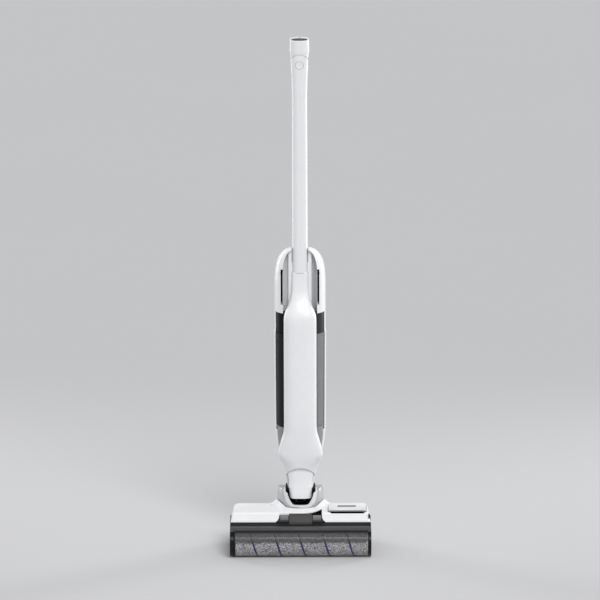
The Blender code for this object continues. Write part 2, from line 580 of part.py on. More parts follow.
def lower_shell():
    levels = (LEDGE_Z + 0.4, 205.0, 218.0, 231.0, 242.9)
    shell = loft("rear_shell_lower", [body_ring(z) for z in levels], WHITE)
    levels = (190.0,) + levels[1:4] + (240.4,)
    keep(shell, box("rear_half", (-70.0, COLUMN_BACK + 0.4, 190.0), (70.0, 100.0, 250.0)))
    hollow = loft("rear_hollow", [body_ring(z, WALL) for z in levels])
    keep(hollow, box("rear_hollow_half", (-70.0, COLUMN_BACK + 0.4 + WALL, 180.0), (70.0, 100.0, 250.0)))
    cut(shell, hollow, rod("riser_way", 11.0, (0.0, HOSE_Y, 230.0), (0.0, HOSE_Y, 250.0)))
    cradle_levels = (204.0, 218.0, 231.0, 244.0, 257.0)
    for side, name in ((-1, "left"), (1, "right")):
        cradle = loft("tank_cradle_" + name, [body_ring(z, 0.0, TANK_TUCK) for z in cradle_levels], GREY)
        inside = sorted((side * 20.0, side * 70.0))
        keep(cradle, box("cradle_part_" + name, (inside[0], -20.0, 190.0), (inside[1], COLUMN_BACK, 300.0)))
        cut(cradle, loft("cradle_column_" + name, [
            oval(z, a + 0.5, f - 0.5, COLUMN_BACK + 12.0, COLUMN_POWER) for z, a, f in COLUMN[:6]]))
        cut(cradle, loft("cradle_seat_" + name, tank_rings(-0.4)))
    riser = rod("riser_duct", 10.4, (0.0, HOSE_Y, 168.6), (0.0, HOSE_Y, 242.9), BLACK)
    cut(riser, rod("riser_bore", 8.6, (0.0, HOSE_Y, 160.0), (0.0, HOSE_Y, 260.0)))
    pump = rod("water_pump", 11.0, (26.0, 48.0, 206.0), (26.0, 48.0, 236.0), GREY, 16)
    join(pump, box("pump_head", (16.0, 38.0, 202.0), (35.0, 58.0, 214.0)))


def tank_rings(inset):
    """The pair of tanks, round at the foot."""
    foot = [(TANK_FOOT + inset, 13.0), (TANK_FOOT + 2.4, 8.6), (TANK_FOOT + 6.0, 4.6), (257.0, TANK_TUCK)]
    rings = [body_ring(z, inset, inset + tuck) for z, tuck in foot]
    return rings + [body_ring(z, inset, inset + TANK_TUCK) for z in (300.0, 380.0, TANK_TOP - inset)]


def tank(side, name, mat):
    """One of the two tanks: an L in plan, beside and behind the column."""
    word = "left" if side < 0 else "right"
    body = loft(name, tank_rings(0.0), mat)
    low, high = sorted((side * 0.5, side * 80.0))
    keep(body, box("tank_half_" + word, (low, -20.0, 200.0), (high, 120.0, 600.0)))
    space = box("tank_column_" + word, (-34.4, -40.0, 200.0), (34.4, COLUMN_BACK + 0.5, 600.0))
    panel_space = loft("panel_space_" + word, [body_ring(z, 1.7) for z in (230.0, 257.0, 346.0, 460.0)])
    hollow = loft("tank_hollow_" + word, tank_rings(1.9)[:-1] + [body_ring(470.0, 1.9, 1.9 + TANK_TUCK)])
    low, high = sorted((side * 2.4, side * 80.0))
    keep(hollow, box("tank_hollow_half_" + word, (low, -20.0, 200.0), (high, 120.0, 600.0)))
    cut(hollow, box("tank_hollow_column_" + word, (-36.3, -40.0, 200.0), (36.3, COLUMN_BACK + 2.4, 600.0)))
    back_strip = box("back_strip_" + word, (-80.0, PANEL_Y - 0.4, 200.0), (80.0, 120.0, 600.0))
    rim = loft("rim_" + word, [body_ring(z, -6.0) for z in (230.0, 460.0)])
    keep(rim, back_strip)
    cut(rim, panel_space)
    column = loft("column_clear_" + word, [oval(z, a + 0.6, f - 0.5, COLUMN_BACK + 0.1, COLUMN_POWER)
                                           for z, a, f in COLUMN[:6]])
    return cut(body, space, column, hollow, rim)


def tank_lid(side, name):
    word = "left" if side < 0 else "right"
    lid = loft(name, [body_ring(z, 1.9, TANK_TUCK + 0.8) for z in (TANK_TOP + 0.4, LID_TOP)], BLACK)
    low, high = sorted((side * 0.5, side * 80.0))
    keep(lid, box("lid_half_" + word, (low, -20.0, 400.0), (high, 120.0, 600.0)))
    hollow = loft("lid_hollow_" + word, [
        body_ring(z, 4.4, TANK_TUCK + 3.2) for z in (440.0, LID_TOP - 3.0)])
    low, high = sorted((side * 3.0, side * 80.0))
    keep(hollow, box("lid_hollow_half_" + word, (low, -20.0, 400.0), (high, 120.0, 600.0)))
    cut(hollow, box("lid_hollow_column_" + word, (-37.0, -40.0, 400.0), (37.0, COLUMN_BACK + 3.0, 600.0)))
    column = box("lid_column_" + word, (-34.4, -40.0, 400.0), (34.4, COLUMN_BACK + 0.5, 600.0))
    return cut(lid, column, hollow)


def tank_panel(side, name):
    """White shell over the outside of a tank and its lid, with a finger ledge."""
    word = "left" if side < 0 else "right"
    levels = (TANK_FOOT, 257.0, 346.0, TANK_TOP)
    front, back = TANK_MID_Y - TANK_DEPTH, TANK_MID_Y + TANK_DEPTH
    top = [oval(z, 52.6, front, back, BODY_POWER) for z in (456.0, LID_TOP)]
    panel = loft(name, [body_ring(z) for z in levels] + top, WHITE)
    inner = [body_ring(z, 1.4) for z in (230.0, 257.0, 346.0, 448.0)]
    inner += [oval(z, 51.2, front + 1.4, back - 1.4, BODY_POWER) for z in (456.0, 520.0)]
    low, high = sorted((side * 0.5, side * 80.0))
    keep(panel, box("panel_part_" + word, (low, PANEL_Y, 200.0), (high, 120.0, 600.0)))
    return cut(panel, loft("panel_inner_" + word, inner))


def tanks():
    dirty = tank(-1, "dirty_water_tank", SMOKE)
    join(dirty, rod("inlet_pipe", 9.0, (-14.0, 60.0, TANK_FOOT + 1.0), (-14.0, 60.0, 430.0), sides=16))
    cut(dirty, rod("inlet_bore", 7.2, (-14.0, 60.0, 230.0), (-14.0, 60.0, 440.0), sides=16))
    tank(1, "clean_water_tank", CLEAR)
    tank_lid(-1, "dirty_tank_lid")
    tank_lid(1, "clean_tank_lid")
    tank_panel(-1, "dirty_tank_panel")
    tank_panel(1, "clean_tank_panel")
    rod("dirty_tank_filter", 13.0, (-22.0, 60.0, 452.0), (-22.0, 60.0, 489.0), FILTER, 20)


# ---- upper housing ----
HOUSING = [  # height, half width, front, back
    (HOUSING_FOOT, 52.6, 1.0, 87.0), (557.0, 52.5, 1.0, 87.0), (578.0, 51.4, 1.5, 86.0),
    (591.0, 49.2, 3.0, 83.0), (601.5, 46.4, 5.0, 77.5), (611.0, 42.0, 7.6, 69.5), (618.5, 37.0, 10.4, 60.0),
    (625.0, 30.0, 13.6, 50.0), (628.0, 23.0, 16.4, 42.0), (HOUSING_TOP, 19.0, 19.0, 38.0),
]
CHANNEL = [  # half width and height of the opening under the hoop
    (38.5, 480.0), (38.5, 590.0), (36.0, 604.0), (32.5, 611.5), (28.0, 617.5), (24.5, 621.5), (20.5, 624.6),
    (17.0, 626.0),
]


def upper_housing():
    """A hoop over a recessed channel. The pole stands in the gap between the hoop's two ends."""
    housing = loft("upper_housing", [oval(z, a, f, b, BODY_POWER) for z, a, f, b in HOUSING], WHITE)
    spine = box("housing_spine", (-SPINE_HALF, SPINE_Y, HOUSING_FOOT), (SPINE_HALF, 40.0, 623.0))
    hollow = [(480.0, 48.6, 34.6, 82.6), (559.0, 48.5, 34.6, 82.6), (575.0, 46.0, 36.0, 81.6)]
    hollow = loft("motor_space", [oval(z, a, f, b, BODY_POWER) for z, a, f, b in hollow])
    channel = CHANNEL + [(-x, z) for x, z in reversed(CHANNEL)]
    column = [oval(z, a + 0.5, f - 0.5, COLUMN_BACK + 0.5, COLUMN_POWER) for z, a, f in COLUMN[7:]]
    column.append(oval(POLE_FOOT + 1.0, 17.2, POLE_FRONT - 0.5, COLUMN_BACK + 0.5, COLUMN_POWER))
    slots = [box("slot", (x - SLOT_HALF, -10.0, 512.0), (x + SLOT_HALF, 52.0, 577.0))
             for x in (-SLOT_X, SLOT_X)]
    cut(housing, plate("channel", "Y", -20.0, CHANNEL_Y, channel))
    join(housing, spine)
    cut(
        housing,
        hollow,
        box("channel_column", (-35.0, -20.0, 480.0), (35.0, COLUMN_BACK + 0.4, 506.0)),
        loft("column_space", column),
        loft("pole_space", [
            oval(z, 17.4, POLE_FRONT - 0.6, POLE_BACK + 0.6, POLE_POWER) for z in (582.0, 660.0)]),
        box("pole_gap", (-17.4, -20.0, 600.0), (17.4, BODY_Y, 660.0)),
        *slots,
    )
    for side, name in ((-1, "left"), (1, "right")):
        inside = sorted((side * 32.0, side * 41.0))
        box("vent_grille_" + name, (inside[0], 45.4, 500.0), (inside[1], 47.0, 555.0), BLACK)
    rod("suction_motor", 21.5, (0.0, SUCTION_Y, 520.0), (0.0, SUCTION_Y, 572.0), STEEL, 24)
    impeller = rod("impeller", 22.0, (0.0, SUCTION_Y, 500.0), (0.0, SUCTION_Y, 519.0), GREY, 24, 14.0)
    return pivot(impeller, (0.0, SUCTION_Y, 510.0))


def electronics():
    box("battery_pack", (-23.0, -8.4, 275.0), (23.0, 15.0, 400.0), BATTERY)
    box("control_board", (-21.0, 2.0, 408.0), (21.0, 3.6, 478.0), BOARD)


# ---- pole and handle ----
POLE = [(POLE_FOOT, 16.8), (640.0, 16.7), (760.0, 16.3), (860.0, 16.0), (940.0, 15.8), (970.0, 16.4),
        (1000.0, 17.6), (POLE_TOP, 18.3)]


def pole():
    tube = loft("pole", [oval(z, a, POLE_FRONT, POLE_BACK, POLE_POWER) for z, a in POLE], WHITE)
    hollow = [(z + 10.0 * (z > POWER_Z) - 10.0 * (z < 600.0), a - WALL) for z, a in POLE]
    hollow = [oval(z, a, POLE_FRONT + WALL, POLE_BACK - WALL, POLE_POWER) for z, a in hollow]
    cut(
        tube,
        loft("pole_hollow", hollow),
        rod("power_hole", POWER_R + 0.4, (0.0, 0.0, POWER_Z), (0.0, 25.0, POWER_Z), sides=24),
        box("grip_pocket", (-GRIP_HALF - 0.4, POLE_BACK - 1.6, GRIP_LOW - 0.4),
            (GRIP_HALF + 0.4, POLE_BACK + 5.0, GRIP_HIGH + 0.4)),
    )
    spigot = loft("pole_spigot", [
        oval(z, 13.6, POLE_FRONT + 3.0, POLE_BACK - 3.0, POLE_POWER) for z in (584.0, 660.0)], SILVER)
    cut(spigot, rod("spigot_way", 9.0, (0.0, BODY_Y, 570.0), (0.0, BODY_Y, 670.0)))
    box("rear_grip", (-GRIP_HALF, POLE_BACK - 1.2, GRIP_LOW), (GRIP_HALF, POLE_BACK + 0.8, GRIP_HIGH), RUBBER)
    handle_head()


def handle_head():
    rows = [(POLE_TOP + 0.4, 18.3, POLE_FRONT), (1034.0, 19.6, POLE_FRONT - 0.4),
            (1040.0, 20.5, POLE_FRONT - 0.8), (1050.0, 20.2, POLE_FRONT - 0.8),
            (HANDLE_TOP - 1.0, 19.8, POLE_FRONT - 0.8), (HANDLE_TOP, 19.0, POLE_FRONT)]
    head = loft("handle_head", [
        oval(z, a, f, POLE_BACK + (f < POLE_FRONT) * 4.0, POLE_POWER) for z, a, f in rows], WHITE)
    cut(
        head,
        loft("lens_recess", [
            oval(z, 16.4, POLE_FRONT + 2.2, POLE_BACK - 8.0, POLE_POWER) for z in (1060.0, 1070.0)]),
        rod("clean_hole", CLEAN_R + 0.4, (0.0, CLEAN_Y, 1052.0), (0.0, CLEAN_Y, 1070.0), sides=16),
        loft("head_hollow", [
            oval(z, 14.0, POLE_FRONT + 4.0, POLE_BACK - 4.0, POLE_POWER) for z in (1010.0, 1050.0)]),
    )
    loft("display_lens", [
        oval(z, 16.0, POLE_FRONT + 2.6, POLE_BACK - 8.4, POLE_POWER) for z in (1060.3, 1062.6)], GLOSS_BLACK)
    power = rod("power_button", POWER_R, (0.0, POLE_FRONT - 0.2, POWER_Z), (0.0, 21.0, POWER_Z), WHITE, 24)
    pivot(power, (0.0, POLE_FRONT, POWER_Z))
    low, high = (0.0, CLEAN_Y, 1054.0), (0.0, CLEAN_Y, HANDLE_TOP - 0.2)
    clean = rod("self_clean_button", CLEAN_R, low, high, GREY, 16)
    return pivot(clean, (0.0, CLEAN_Y, HANDLE_TOP))


head_base()
gear_side_cover()
head_top_cover()
swivel_fork()
pitch_pin(-1, "pitch_pin_left")
pitch_pin(1, "pitch_pin_right")
head_fittings()
roller()
drive()
roller_cover()
cover_release_button()
wheel(-1, "left")
wheel(1, "right")
neck()
front_shell()
swivel_yoke()
lower_shell()
tanks()
upper_housing()
electronics()
pole()
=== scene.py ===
"""Looks for the cordless stick vacuum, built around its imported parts.

Sizes are in millimetres and MM turns them into metres. +X is right, -Y is the front, +Z is up.
"""
import json
import math

import bmesh
import bpy
import numpy as np
from mathutils import Matrix, Vector, noise


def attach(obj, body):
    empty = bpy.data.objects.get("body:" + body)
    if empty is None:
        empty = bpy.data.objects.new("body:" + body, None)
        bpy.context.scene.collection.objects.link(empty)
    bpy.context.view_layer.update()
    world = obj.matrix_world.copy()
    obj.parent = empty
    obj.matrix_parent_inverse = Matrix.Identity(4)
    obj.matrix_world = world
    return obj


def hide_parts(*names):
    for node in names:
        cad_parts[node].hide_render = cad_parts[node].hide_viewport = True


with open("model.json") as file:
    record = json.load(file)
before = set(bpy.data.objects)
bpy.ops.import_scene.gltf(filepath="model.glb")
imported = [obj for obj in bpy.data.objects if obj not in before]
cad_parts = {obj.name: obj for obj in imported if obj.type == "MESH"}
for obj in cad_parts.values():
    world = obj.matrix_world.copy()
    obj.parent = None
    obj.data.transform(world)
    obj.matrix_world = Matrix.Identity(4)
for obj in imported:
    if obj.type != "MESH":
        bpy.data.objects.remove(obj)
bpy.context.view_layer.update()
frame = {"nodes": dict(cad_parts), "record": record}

MM = 0.001
COUNT = 96  # points round an oval
SIDES = ((-1, "left"), (1, "right"))

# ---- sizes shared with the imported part, mm. The pole's foot and the panels' edge are set for the looks ----
ROLLER_Y, ROLLER_Z, ROLLER_R = -64.0, 27.5, 27.5
ROLLER_LEFT, ROLLER_RIGHT = -134.2, 138.4
ROLLER_AXIS = (ROLLER_Y, ROLLER_Z)
WINDOW_R, WINDOW_LEFT, WINDOW_RIGHT = 31.0, -134.5, 137.8
WINDOW_LOW, WINDOW_HIGH, WINDOW_CORNER = 17.0, 58.0, 6.0  # degrees, degrees, mm
STRIPE_LEAD, STRIPE_WIDTH, STRIPE_START = 49.4, 6.0, 3.0
BAND_SLOPE = math.radians(18.6)
HEAD_HALF = 145.0
CHEEK_R = 28.2
BASE_TOP = 58.0
FACE_FOOT, CREASE, COVER_BACK = (-44.8, 66.0), (-36.8, 83.0), (30.5, 84.1)
KEY_LEFT, KEY_RIGHT, KEY_LIP_Y, KEY_LIP_Z = 57.3, 134.7, -30.0, 88.4
TAIL_HALF, TAIL_BACK = 66.0, 92.6
PITCH_Y, PITCH_Z = 42.0, 110.0
PIN_R, PIN_BORE, HOSE_BORE, RISER_Y, RISER_BORE = 5.0, 5.3, 11.6, 44.0, 11.0
STEER_Z, KNUCKLE_R, CROWN_R = 133.0, 31.4, 33.0
FORK_R, FORK_INNER, HORN_TOP = 48.0, 31.0, 119.0
WHEEL_Y, WHEEL_R, WHEEL_IN, WHEEL_OUT = 60.0, 26.0, 69.0, 85.0
BODY_Y = 34.0
COLUMN_FRONT, COLUMN_BACK, COLUMN_HALF = -14.0, 27.7, 33.6
LEDGE_Z = 197.0
TANK_FOOT, TANK_TOP, LID_TOP, TANK_IN = 243.6, 450.5, 493.6, 34.4
HOUSING_FOOT, HOUSING_TOP = 494.2, 629.0
TANK_MID_Y, TANK_DEPTH, TANK_TUCK, PANEL_Y = 44.0, 43.0, 2.4, 30.5
CHANNEL_Y, SPINE_Y, SPINE_HALF = 30.0, 23.0, 24.3
SLOT_X, SLOT_HALF, SLOT_FOOT, SLOT_TOP = 37.2, 2.3, 512.0, 586.0
POLE_FOOT, POLE_TOP, POLE_FRONT, POLE_BACK = 577.6, 1025.0, 16.0, 52.0
HANDLE_TOP = 1063.0
POWER_Z, POWER_R = 1012.0, 8.0
WALL = 2.4


# ---- materials ----
def linear(value):
    """A linear colour from one as it looks on screen."""
    return tuple(c / 12.92 if c <= 0.04045 else ((c + 0.055) / 1.055) ** 2.4 for c in value)


def node(tree, kind, **settings):
    made = tree.nodes.new(kind)
    for key, value in settings.items():
        if key in made.inputs:
            made.inputs[key].default_value = value
        else:
            setattr(made, key, value)
    return made


def ramp(tree, source, ends, dark=(0.0, 0.0, 0.0), light=(1.0, 1.0, 1.0)):
    """Colours between a dark and a light end, both linear, as the source goes from end to end."""
    made = node(tree, "ShaderNodeValToRGB")
    for stop, place, colour in zip(made.color_ramp.elements, ends, (dark, light)):
        stop.position, stop.color = place, (*colour, 1.0)
    tree.links.new(source, made.inputs["Fac"])
    return made.outputs["Color"]


def multiply_add(tree, value, factor, addend):
    made = node(tree, "ShaderNodeMath", operation="MULTIPLY_ADD")
    made.inputs[1].default_value = factor
    tree.links.new(value, made.inputs[0])
    tree.links.new(addend, made.inputs[2])
    return made.outputs[0]


def bump(tree, bsdf, source, strength, depth):
    made = node(tree, "ShaderNodeBump", Strength=strength, Distance=depth)
    tree.links.new(source, made.inputs["Height"])
    tree.links.new(made.outputs["Normal"], bsdf.inputs["Normal"])


def painted(name, screen, rough, mottle=0.03, spread=0.05, grain=0.06, grain_size=0.45, cloud=25.0,
            **shader):
    """A moulded or painted finish: faint clouding in colour and gloss, and a fine grain."""
    colour = linear(screen)
    mat = bpy.data.materials.new(name)
    mat.use_nodes = True
    tree = mat.node_tree
    bsdf = tree.nodes["Principled BSDF"]
    for key, value in shader.items():
        bsdf.inputs[key.replace("_", " ")].default_value = value
    place = node(tree, "ShaderNodeTexCoord")
    clouds = node(tree, "ShaderNodeTexNoise", Scale=1000.0 / cloud, Detail=4.0, Roughness=0.55)
    tree.links.new(place.outputs["Object"], clouds.inputs["Vector"])
    dark, light = [c * (1 - mottle) for c in colour], [min(1.0, c * (1 + mottle)) for c in colour]
    tree.links.new(ramp(tree, clouds.outputs["Fac"], (0.3, 0.7), dark, light), bsdf.inputs["Base Color"])
    gloss = node(tree, "ShaderNodeMapRange")
    gloss.inputs["To Min"].default_value = max(0.02, rough - spread)
    gloss.inputs["To Max"].default_value = rough + spread
    tree.links.new(clouds.outputs["Fac"], gloss.inputs["Value"])
    tree.links.new(gloss.outputs["Result"], bsdf.inputs["Roughness"])
    if grain:
        fine = node(tree, "ShaderNodeTexNoise", Scale=1000.0 / grain_size, Detail=2.0)
        tree.links.new(place.outputs["Object"], fine.inputs["Vector"])
        bump(tree, bsdf, fine.outputs["Fac"], grain, 0.0002)
    return mat


def microfibre():
    """Grey pile with painted shade, darker in the gaps between tufts, and one violet-blue stripe wound round
    the roller.
    """
    mat = painted("microfibre_pile", (0.3, 0.3, 0.3), 0.95, Sheen_Weight=0.22, Sheen_Roughness=0.5)
    tree = mat.node_tree
    bsdf = tree.nodes["Principled BSDF"]
    place = next(n for n in tree.nodes if n.type == "TEX_COORD")
    tufts = node(tree, "ShaderNodeTexVoronoi", Scale=560.0, Randomness=1.0)
    fluff = node(tree, "ShaderNodeTexNoise", Scale=330.0, Detail=6.0, Roughness=0.7)
    for source in (tufts, fluff):
        tree.links.new(place.outputs["Object"], source.inputs["Vector"])
    depth = multiply_add(tree, tufts.outputs["Distance"], -0.45, fluff.outputs["Fac"])
    # Painted shade: the colour darkens with depth between tufts. The same depth also drives the bump.
    pile = ramp(tree, depth, (0.12, 0.52), linear((0.27, 0.27, 0.28)), linear((0.87, 0.87, 0.87)))
    mark = node(tree, "ShaderNodeAttribute", attribute_name="stripe")
    edge = multiply_add(tree, fluff.outputs["Fac"], 0.5, mark.outputs["Fac"])
    thread = ramp(tree, depth, (0.15, 0.6), linear((0.12, 0.09, 0.26)), linear((0.33, 0.26, 0.60)))
    both = node(tree, "ShaderNodeMix", data_type="RGBA")
    for number, source in ((0, ramp(tree, edge, (0.66, 0.9))), (6, pile), (7, thread)):
        tree.links.new(source, both.inputs[number])
    tree.links.new(both.outputs[2], bsdf.inputs["Base Color"])
    bump(tree, bsdf, depth, 0.9, 0.0012)
    return mat


WHITE = painted("white_moulding", (0.93, 0.935, 0.94), 0.3, 0.012, 0.04, 0.03, Coat_Weight=0.15)
BLACK = painted("black_moulding", (0.08, 0.08, 0.085), 0.5, 0.08, 0.08, 0.25, Specular_IOR_Level=0.25)
GLOSS = painted("gloss_black_moulding", (0.06, 0.06, 0.065), 0.22, 0.06, 0.03, 0.0, Specular_IOR_Level=0.25)
LID = painted("black_lid", (0.07, 0.07, 0.075), 0.3, 0.06, 0.03, 0.0, Specular_IOR_Level=0.12)
# The black lid painted lighter for the side that faces the light: painted light.
LID_PAINTED_LIGHT = painted("black_lid_painted_light", (0.2, 0.2, 0.205), 0.3, 0.06, 0.03, 0.0, Specular_IOR_Level=0.2)
# The white moulding painted grey for the deep channel: painted shade.
CHANNEL_PAINTED_SHADE = painted("white_moulding_painted_shade", (0.74, 0.74, 0.745), 0.4, 0.02, 0.05, 0.05)
BAND = painted("charcoal_band", (0.25, 0.25, 0.255), 0.3, 0.05, 0.04, 0.05)
PANEL = painted("charcoal_panel", (0.10, 0.10, 0.105), 0.5, 0.05, 0.04, 0.1)
GREY = painted("grey_moulding", (0.55, 0.55, 0.56), 0.42, 0.04, 0.06, 0.15)
DARK_GREY = painted("dark_grey_mark", (0.38, 0.38, 0.385), 0.4, 0.04, 0.06, 0.1)
CLIP = painted("grey_clip", (0.42, 0.42, 0.425), 0.35, 0.05, 0.06, 0.1)
SILVER = painted("satin_silver_paint", (0.74, 0.745, 0.75), 0.34, 0.01, 0.02, 0.02, 0.3, Metallic=0.4)
# The satin silver painted brighter for the fork's mouth band: painted highlight.
SILVER_PAINTED_HIGHLIGHT = painted("satin_silver_painted_highlight", (0.88, 0.885, 0.89), 0.25, 0.02, 0.04, 0.05, 0.3, Metallic=0.2)
STEEL = painted("ground_steel", (0.75, 0.76, 0.78), 0.28, 0.03, 0.08, 0.1, 0.3, Metallic=1.0)
GOLD = painted("gold_plate", (0.9, 0.76, 0.42), 0.25, 0.03, 0.05, 0.05, Metallic=1.0)
RUBBER = painted("rubber_black", (0.16, 0.16, 0.16), 0.75, 0.08, 0.06, 0.4, 0.6)
SMOKE = painted("smoked_window", (0.36, 0.36, 0.365), 0.12, 0.03, 0.02, 0.0,
                Alpha=0.46, Specular_IOR_Level=0.25)
DIRTY = painted("smoked_tank", (0.12, 0.12, 0.125), 0.14, 0.04, 0.03, 0.0, Alpha=0.88, Specular_IOR_Level=0.2)
CLEAR = painted("clear_tank", (0.60, 0.605, 0.61), 0.12, 0.03, 0.03, 0.0, Alpha=0.6, Specular_IOR_Level=0.35)
CELLS = painted("battery_wrap", (0.1, 0.17, 0.36), 0.4, 0.04, 0.05, 0.05)
BOARD = painted("circuit_board", (0.05, 0.3, 0.14), 0.45, 0.08, 0.05, 0.2)
PAPER = painted("pleated_filter", (0.88, 0.87, 0.83), 0.9, 0.05, 0.03, 0.5, 0.8)
NAP = microfibre()

BY_SLOT = {
    "white_plastic": WHITE, "black_plastic": BLACK, "gloss_black": GLOSS, "grey_plastic": GREY,
    "satin_silver": SILVER, "steel": STEEL, "motor_case": STEEL, "contact_gold": GOLD, "rubber": RUBBER,
    "smoked_plastic": SMOKE, "clear_plastic": CLEAR, "microfibre": NAP, "cell_pack": CELLS,
    "circuit_board": BOARD, "filter_paper": PAPER,
}


# ---- shapes ----
def from_bmesh(mesh, name):
    data = bpy.data.meshes.new(name)
    bmesh.ops.recalc_face_normals(mesh, faces=mesh.faces)
    mesh.to_mesh(data)
    mesh.free()
    obj = bpy.data.objects.new(name, data)
    bpy.context.scene.collection.objects.link(obj)
    return obj


def bridge(mesh, one, two):
    """Faces between two rings that have as many points."""
    for i in range(len(one)):
        j = (i + 1) % len(one)
        mesh.faces.new((one[i], one[j], two[j], two[i]))


def ring_of(mesh, points):
    return [mesh.verts.new(Vector(point) * MM) for point in points]


def box(name, low, high):
    mesh = bmesh.new()
    low, high = Vector(low) * MM, Vector(high) * MM
    size = Matrix.Diagonal((*(high - low), 1.0))
    bmesh.ops.create_cube(mesh, size=1.0, matrix=Matrix.Translation((low + high) / 2) @ size)
    return from_bmesh(mesh, name)


def side_box(name, side, reach, front_foot, back_top):
    """A box on one side. Its reach is the two distances from the middle, and the rest is (y, z) corners."""
    low, high = sorted((side * reach[0], side * reach[1]))
    return box(name, (low, *front_foot), (high, *back_top))


def rod(name, radius, start, end, sides=64):
    mesh = bmesh.new()
    start, end = Vector(start) * MM, Vector(end) * MM
    turn = (end - start).to_track_quat("Z", "Y").to_matrix().to_4x4()
    bmesh.ops.create_cone(
        mesh, cap_ends=True, segments=sides, radius1=radius * MM, radius2=radius * MM,
        depth=(end - start).length, matrix=Matrix.Translation((start + end) / 2) @ turn,
    )
    return from_bmesh(mesh, name)


def upright(name, radius, y, low, high, sides=64):
    """A rod on a vertical axis in the middle plane."""
    return rod(name, radius, (0.0, y, low), (0.0, y, high), sides)


def arch(name, radius, z):
    """A round bar from front to back, which curves the top of what it cuts."""
    return rod(name, radius, (0.0, -20.0, z), (0.0, 90.0, z), 180)


def plate(name, axis, low, high, outline):
    """An outline thickened along an axis. Its points are (y, z), (x, z) or (x, y) for axis X, Y or Z."""
    mesh = bmesh.new()
    order = {"X": (2, 0, 1), "Y": (0, 2, 1), "Z": (0, 1, 2)}[axis]
    rows = []
    for level in (low, high):
        rows.append(ring_of(mesh, [[(u, v, level)[i] for i in order] for u, v in outline]))
    bridge(mesh, *rows)
    for row in rows:
        mesh.faces.new(row)
    return from_bmesh(mesh, name)


def loft(name, rings):
    """A closed skin over rings of points."""
    mesh = bmesh.new()
    rows = [ring_of(mesh, ring) for ring in rings]
    for lower, upper in zip(rows, rows[1:]):
        bridge(mesh, lower, upper)
    mesh.faces.new(reversed(rows[0]))
    mesh.faces.new(rows[-1])
    return from_bmesh(mesh, name)


def turned(name, axis_point, profile, sides=96):
    """A ring turned about a line along X. The profile's points are (x, radius)."""
    y, z = axis_point
    mesh = bmesh.new()
    rows = []
    for i in range(sides):
        t = 2 * math.pi * i / sides
        rows.append(ring_of(mesh, [(x, y + r * math.cos(t), z + r * math.sin(t)) for x, r in profile]))
    for one, two in zip(rows, rows[1:] + rows[:1]):
        bridge(mesh, one, two)
    return from_bmesh(mesh, name)


def oval(z, half_width, front, back, power):
    middle, half_depth = (front + back) / 2, (back - front) / 2
    ring = []
    for i in range(COUNT):
        angle = 2 * math.pi * i / COUNT
        c, s = math.cos(angle), math.sin(angle)
        x = half_width * math.copysign(abs(c) ** (2 / power), c)
        y = middle + half_depth * math.copysign(abs(s) ** (2 / power), s)
        ring.append((x, y, z))
    return ring


def arc(centre, radius, start, end, steps):
    turns = [math.radians(start + (end - start) * i / steps) for i in range(steps + 1)]
    return [(centre[0] + radius * math.cos(t), centre[1] + radius * math.sin(t)) for t in turns]


def mirrored(points):
    """Points of one side, followed by their mirror images back to the first."""
    return points + [(-x, *rest) for x, *rest in reversed(points)]


def dense(table, pitch):
    """Rows filled in between a table's rows, on curves that neither wiggle nor overshoot."""
    rows = np.array(table, float)
    gaps = np.diff(rows[:, 0])[:, None]
    slopes = np.diff(rows, axis=0) / gaps
    ends = np.zeros_like(rows)
    ends[0], ends[-1] = slopes[0], slopes[-1]
    for i in range(1, len(rows) - 1):
        for k in range(rows.shape[1]):
            a, b = slopes[i - 1, k], slopes[i, k]
            ends[i, k] = 2 * a * b / (a + b) if a * b > 0 else 0.0
    out = []
    for i in range(len(rows) - 1):
        steps = max(1, math.ceil(gaps[i, 0] / pitch))
        for n in range(steps):
            t, g = n / steps, gaps[i, 0]
            out.append((2 * t**3 - 3 * t**2 + 1) * rows[i] + (t**3 - 2 * t**2 + t) * g * ends[i]
                       + (3 * t**2 - 2 * t**3) * rows[i + 1] + (t**3 - t**2) * g * ends[i + 1])
    out.append(rows[-1])
    return [tuple(float(v) for v in row) for row in out]


def read(table, at):
    """The second column's value between two rows of a table."""
    return float(np.interp(at, [row[0] for row in table], [row[1] for row in table]))


def smoothstep(value, low, high):
    t = min(1.0, max(0.0, (value - low) / (high - low)))
    return t * t * (3 - 2 * t)


# ---- cutting, joining and finishing ----
def boolean(obj, tools, operation):
    for tool in tools:
        result = None
        for solver in ("MANIFOLD", "EXACT"):
            modifier = obj.modifiers.new("boolean", "BOOLEAN")
            modifier.object, modifier.operation, modifier.solver = tool, operation, solver
            depsgraph = bpy.context.evaluated_depsgraph_get()
            result = bpy.data.meshes.new_from_object(obj.evaluated_get(depsgraph))
            obj.modifiers.clear()
            changed = len(result.polygons) != len(obj.data.polygons)
            if len(result.polygons) and (changed or solver == "EXACT"):
                break
        old, obj.data = obj.data, result
        result.name = obj.name
        bpy.data.meshes.remove(old)
        bpy.data.objects.remove(tool, do_unlink=True)
    return obj


def cut(obj, *tools):
    return boolean(obj, tools, "DIFFERENCE")


def join(obj, *tools):
    return boolean(obj, tools, "UNION")


def keep(obj, *tools):
    return boolean(obj, tools, "INTERSECT")


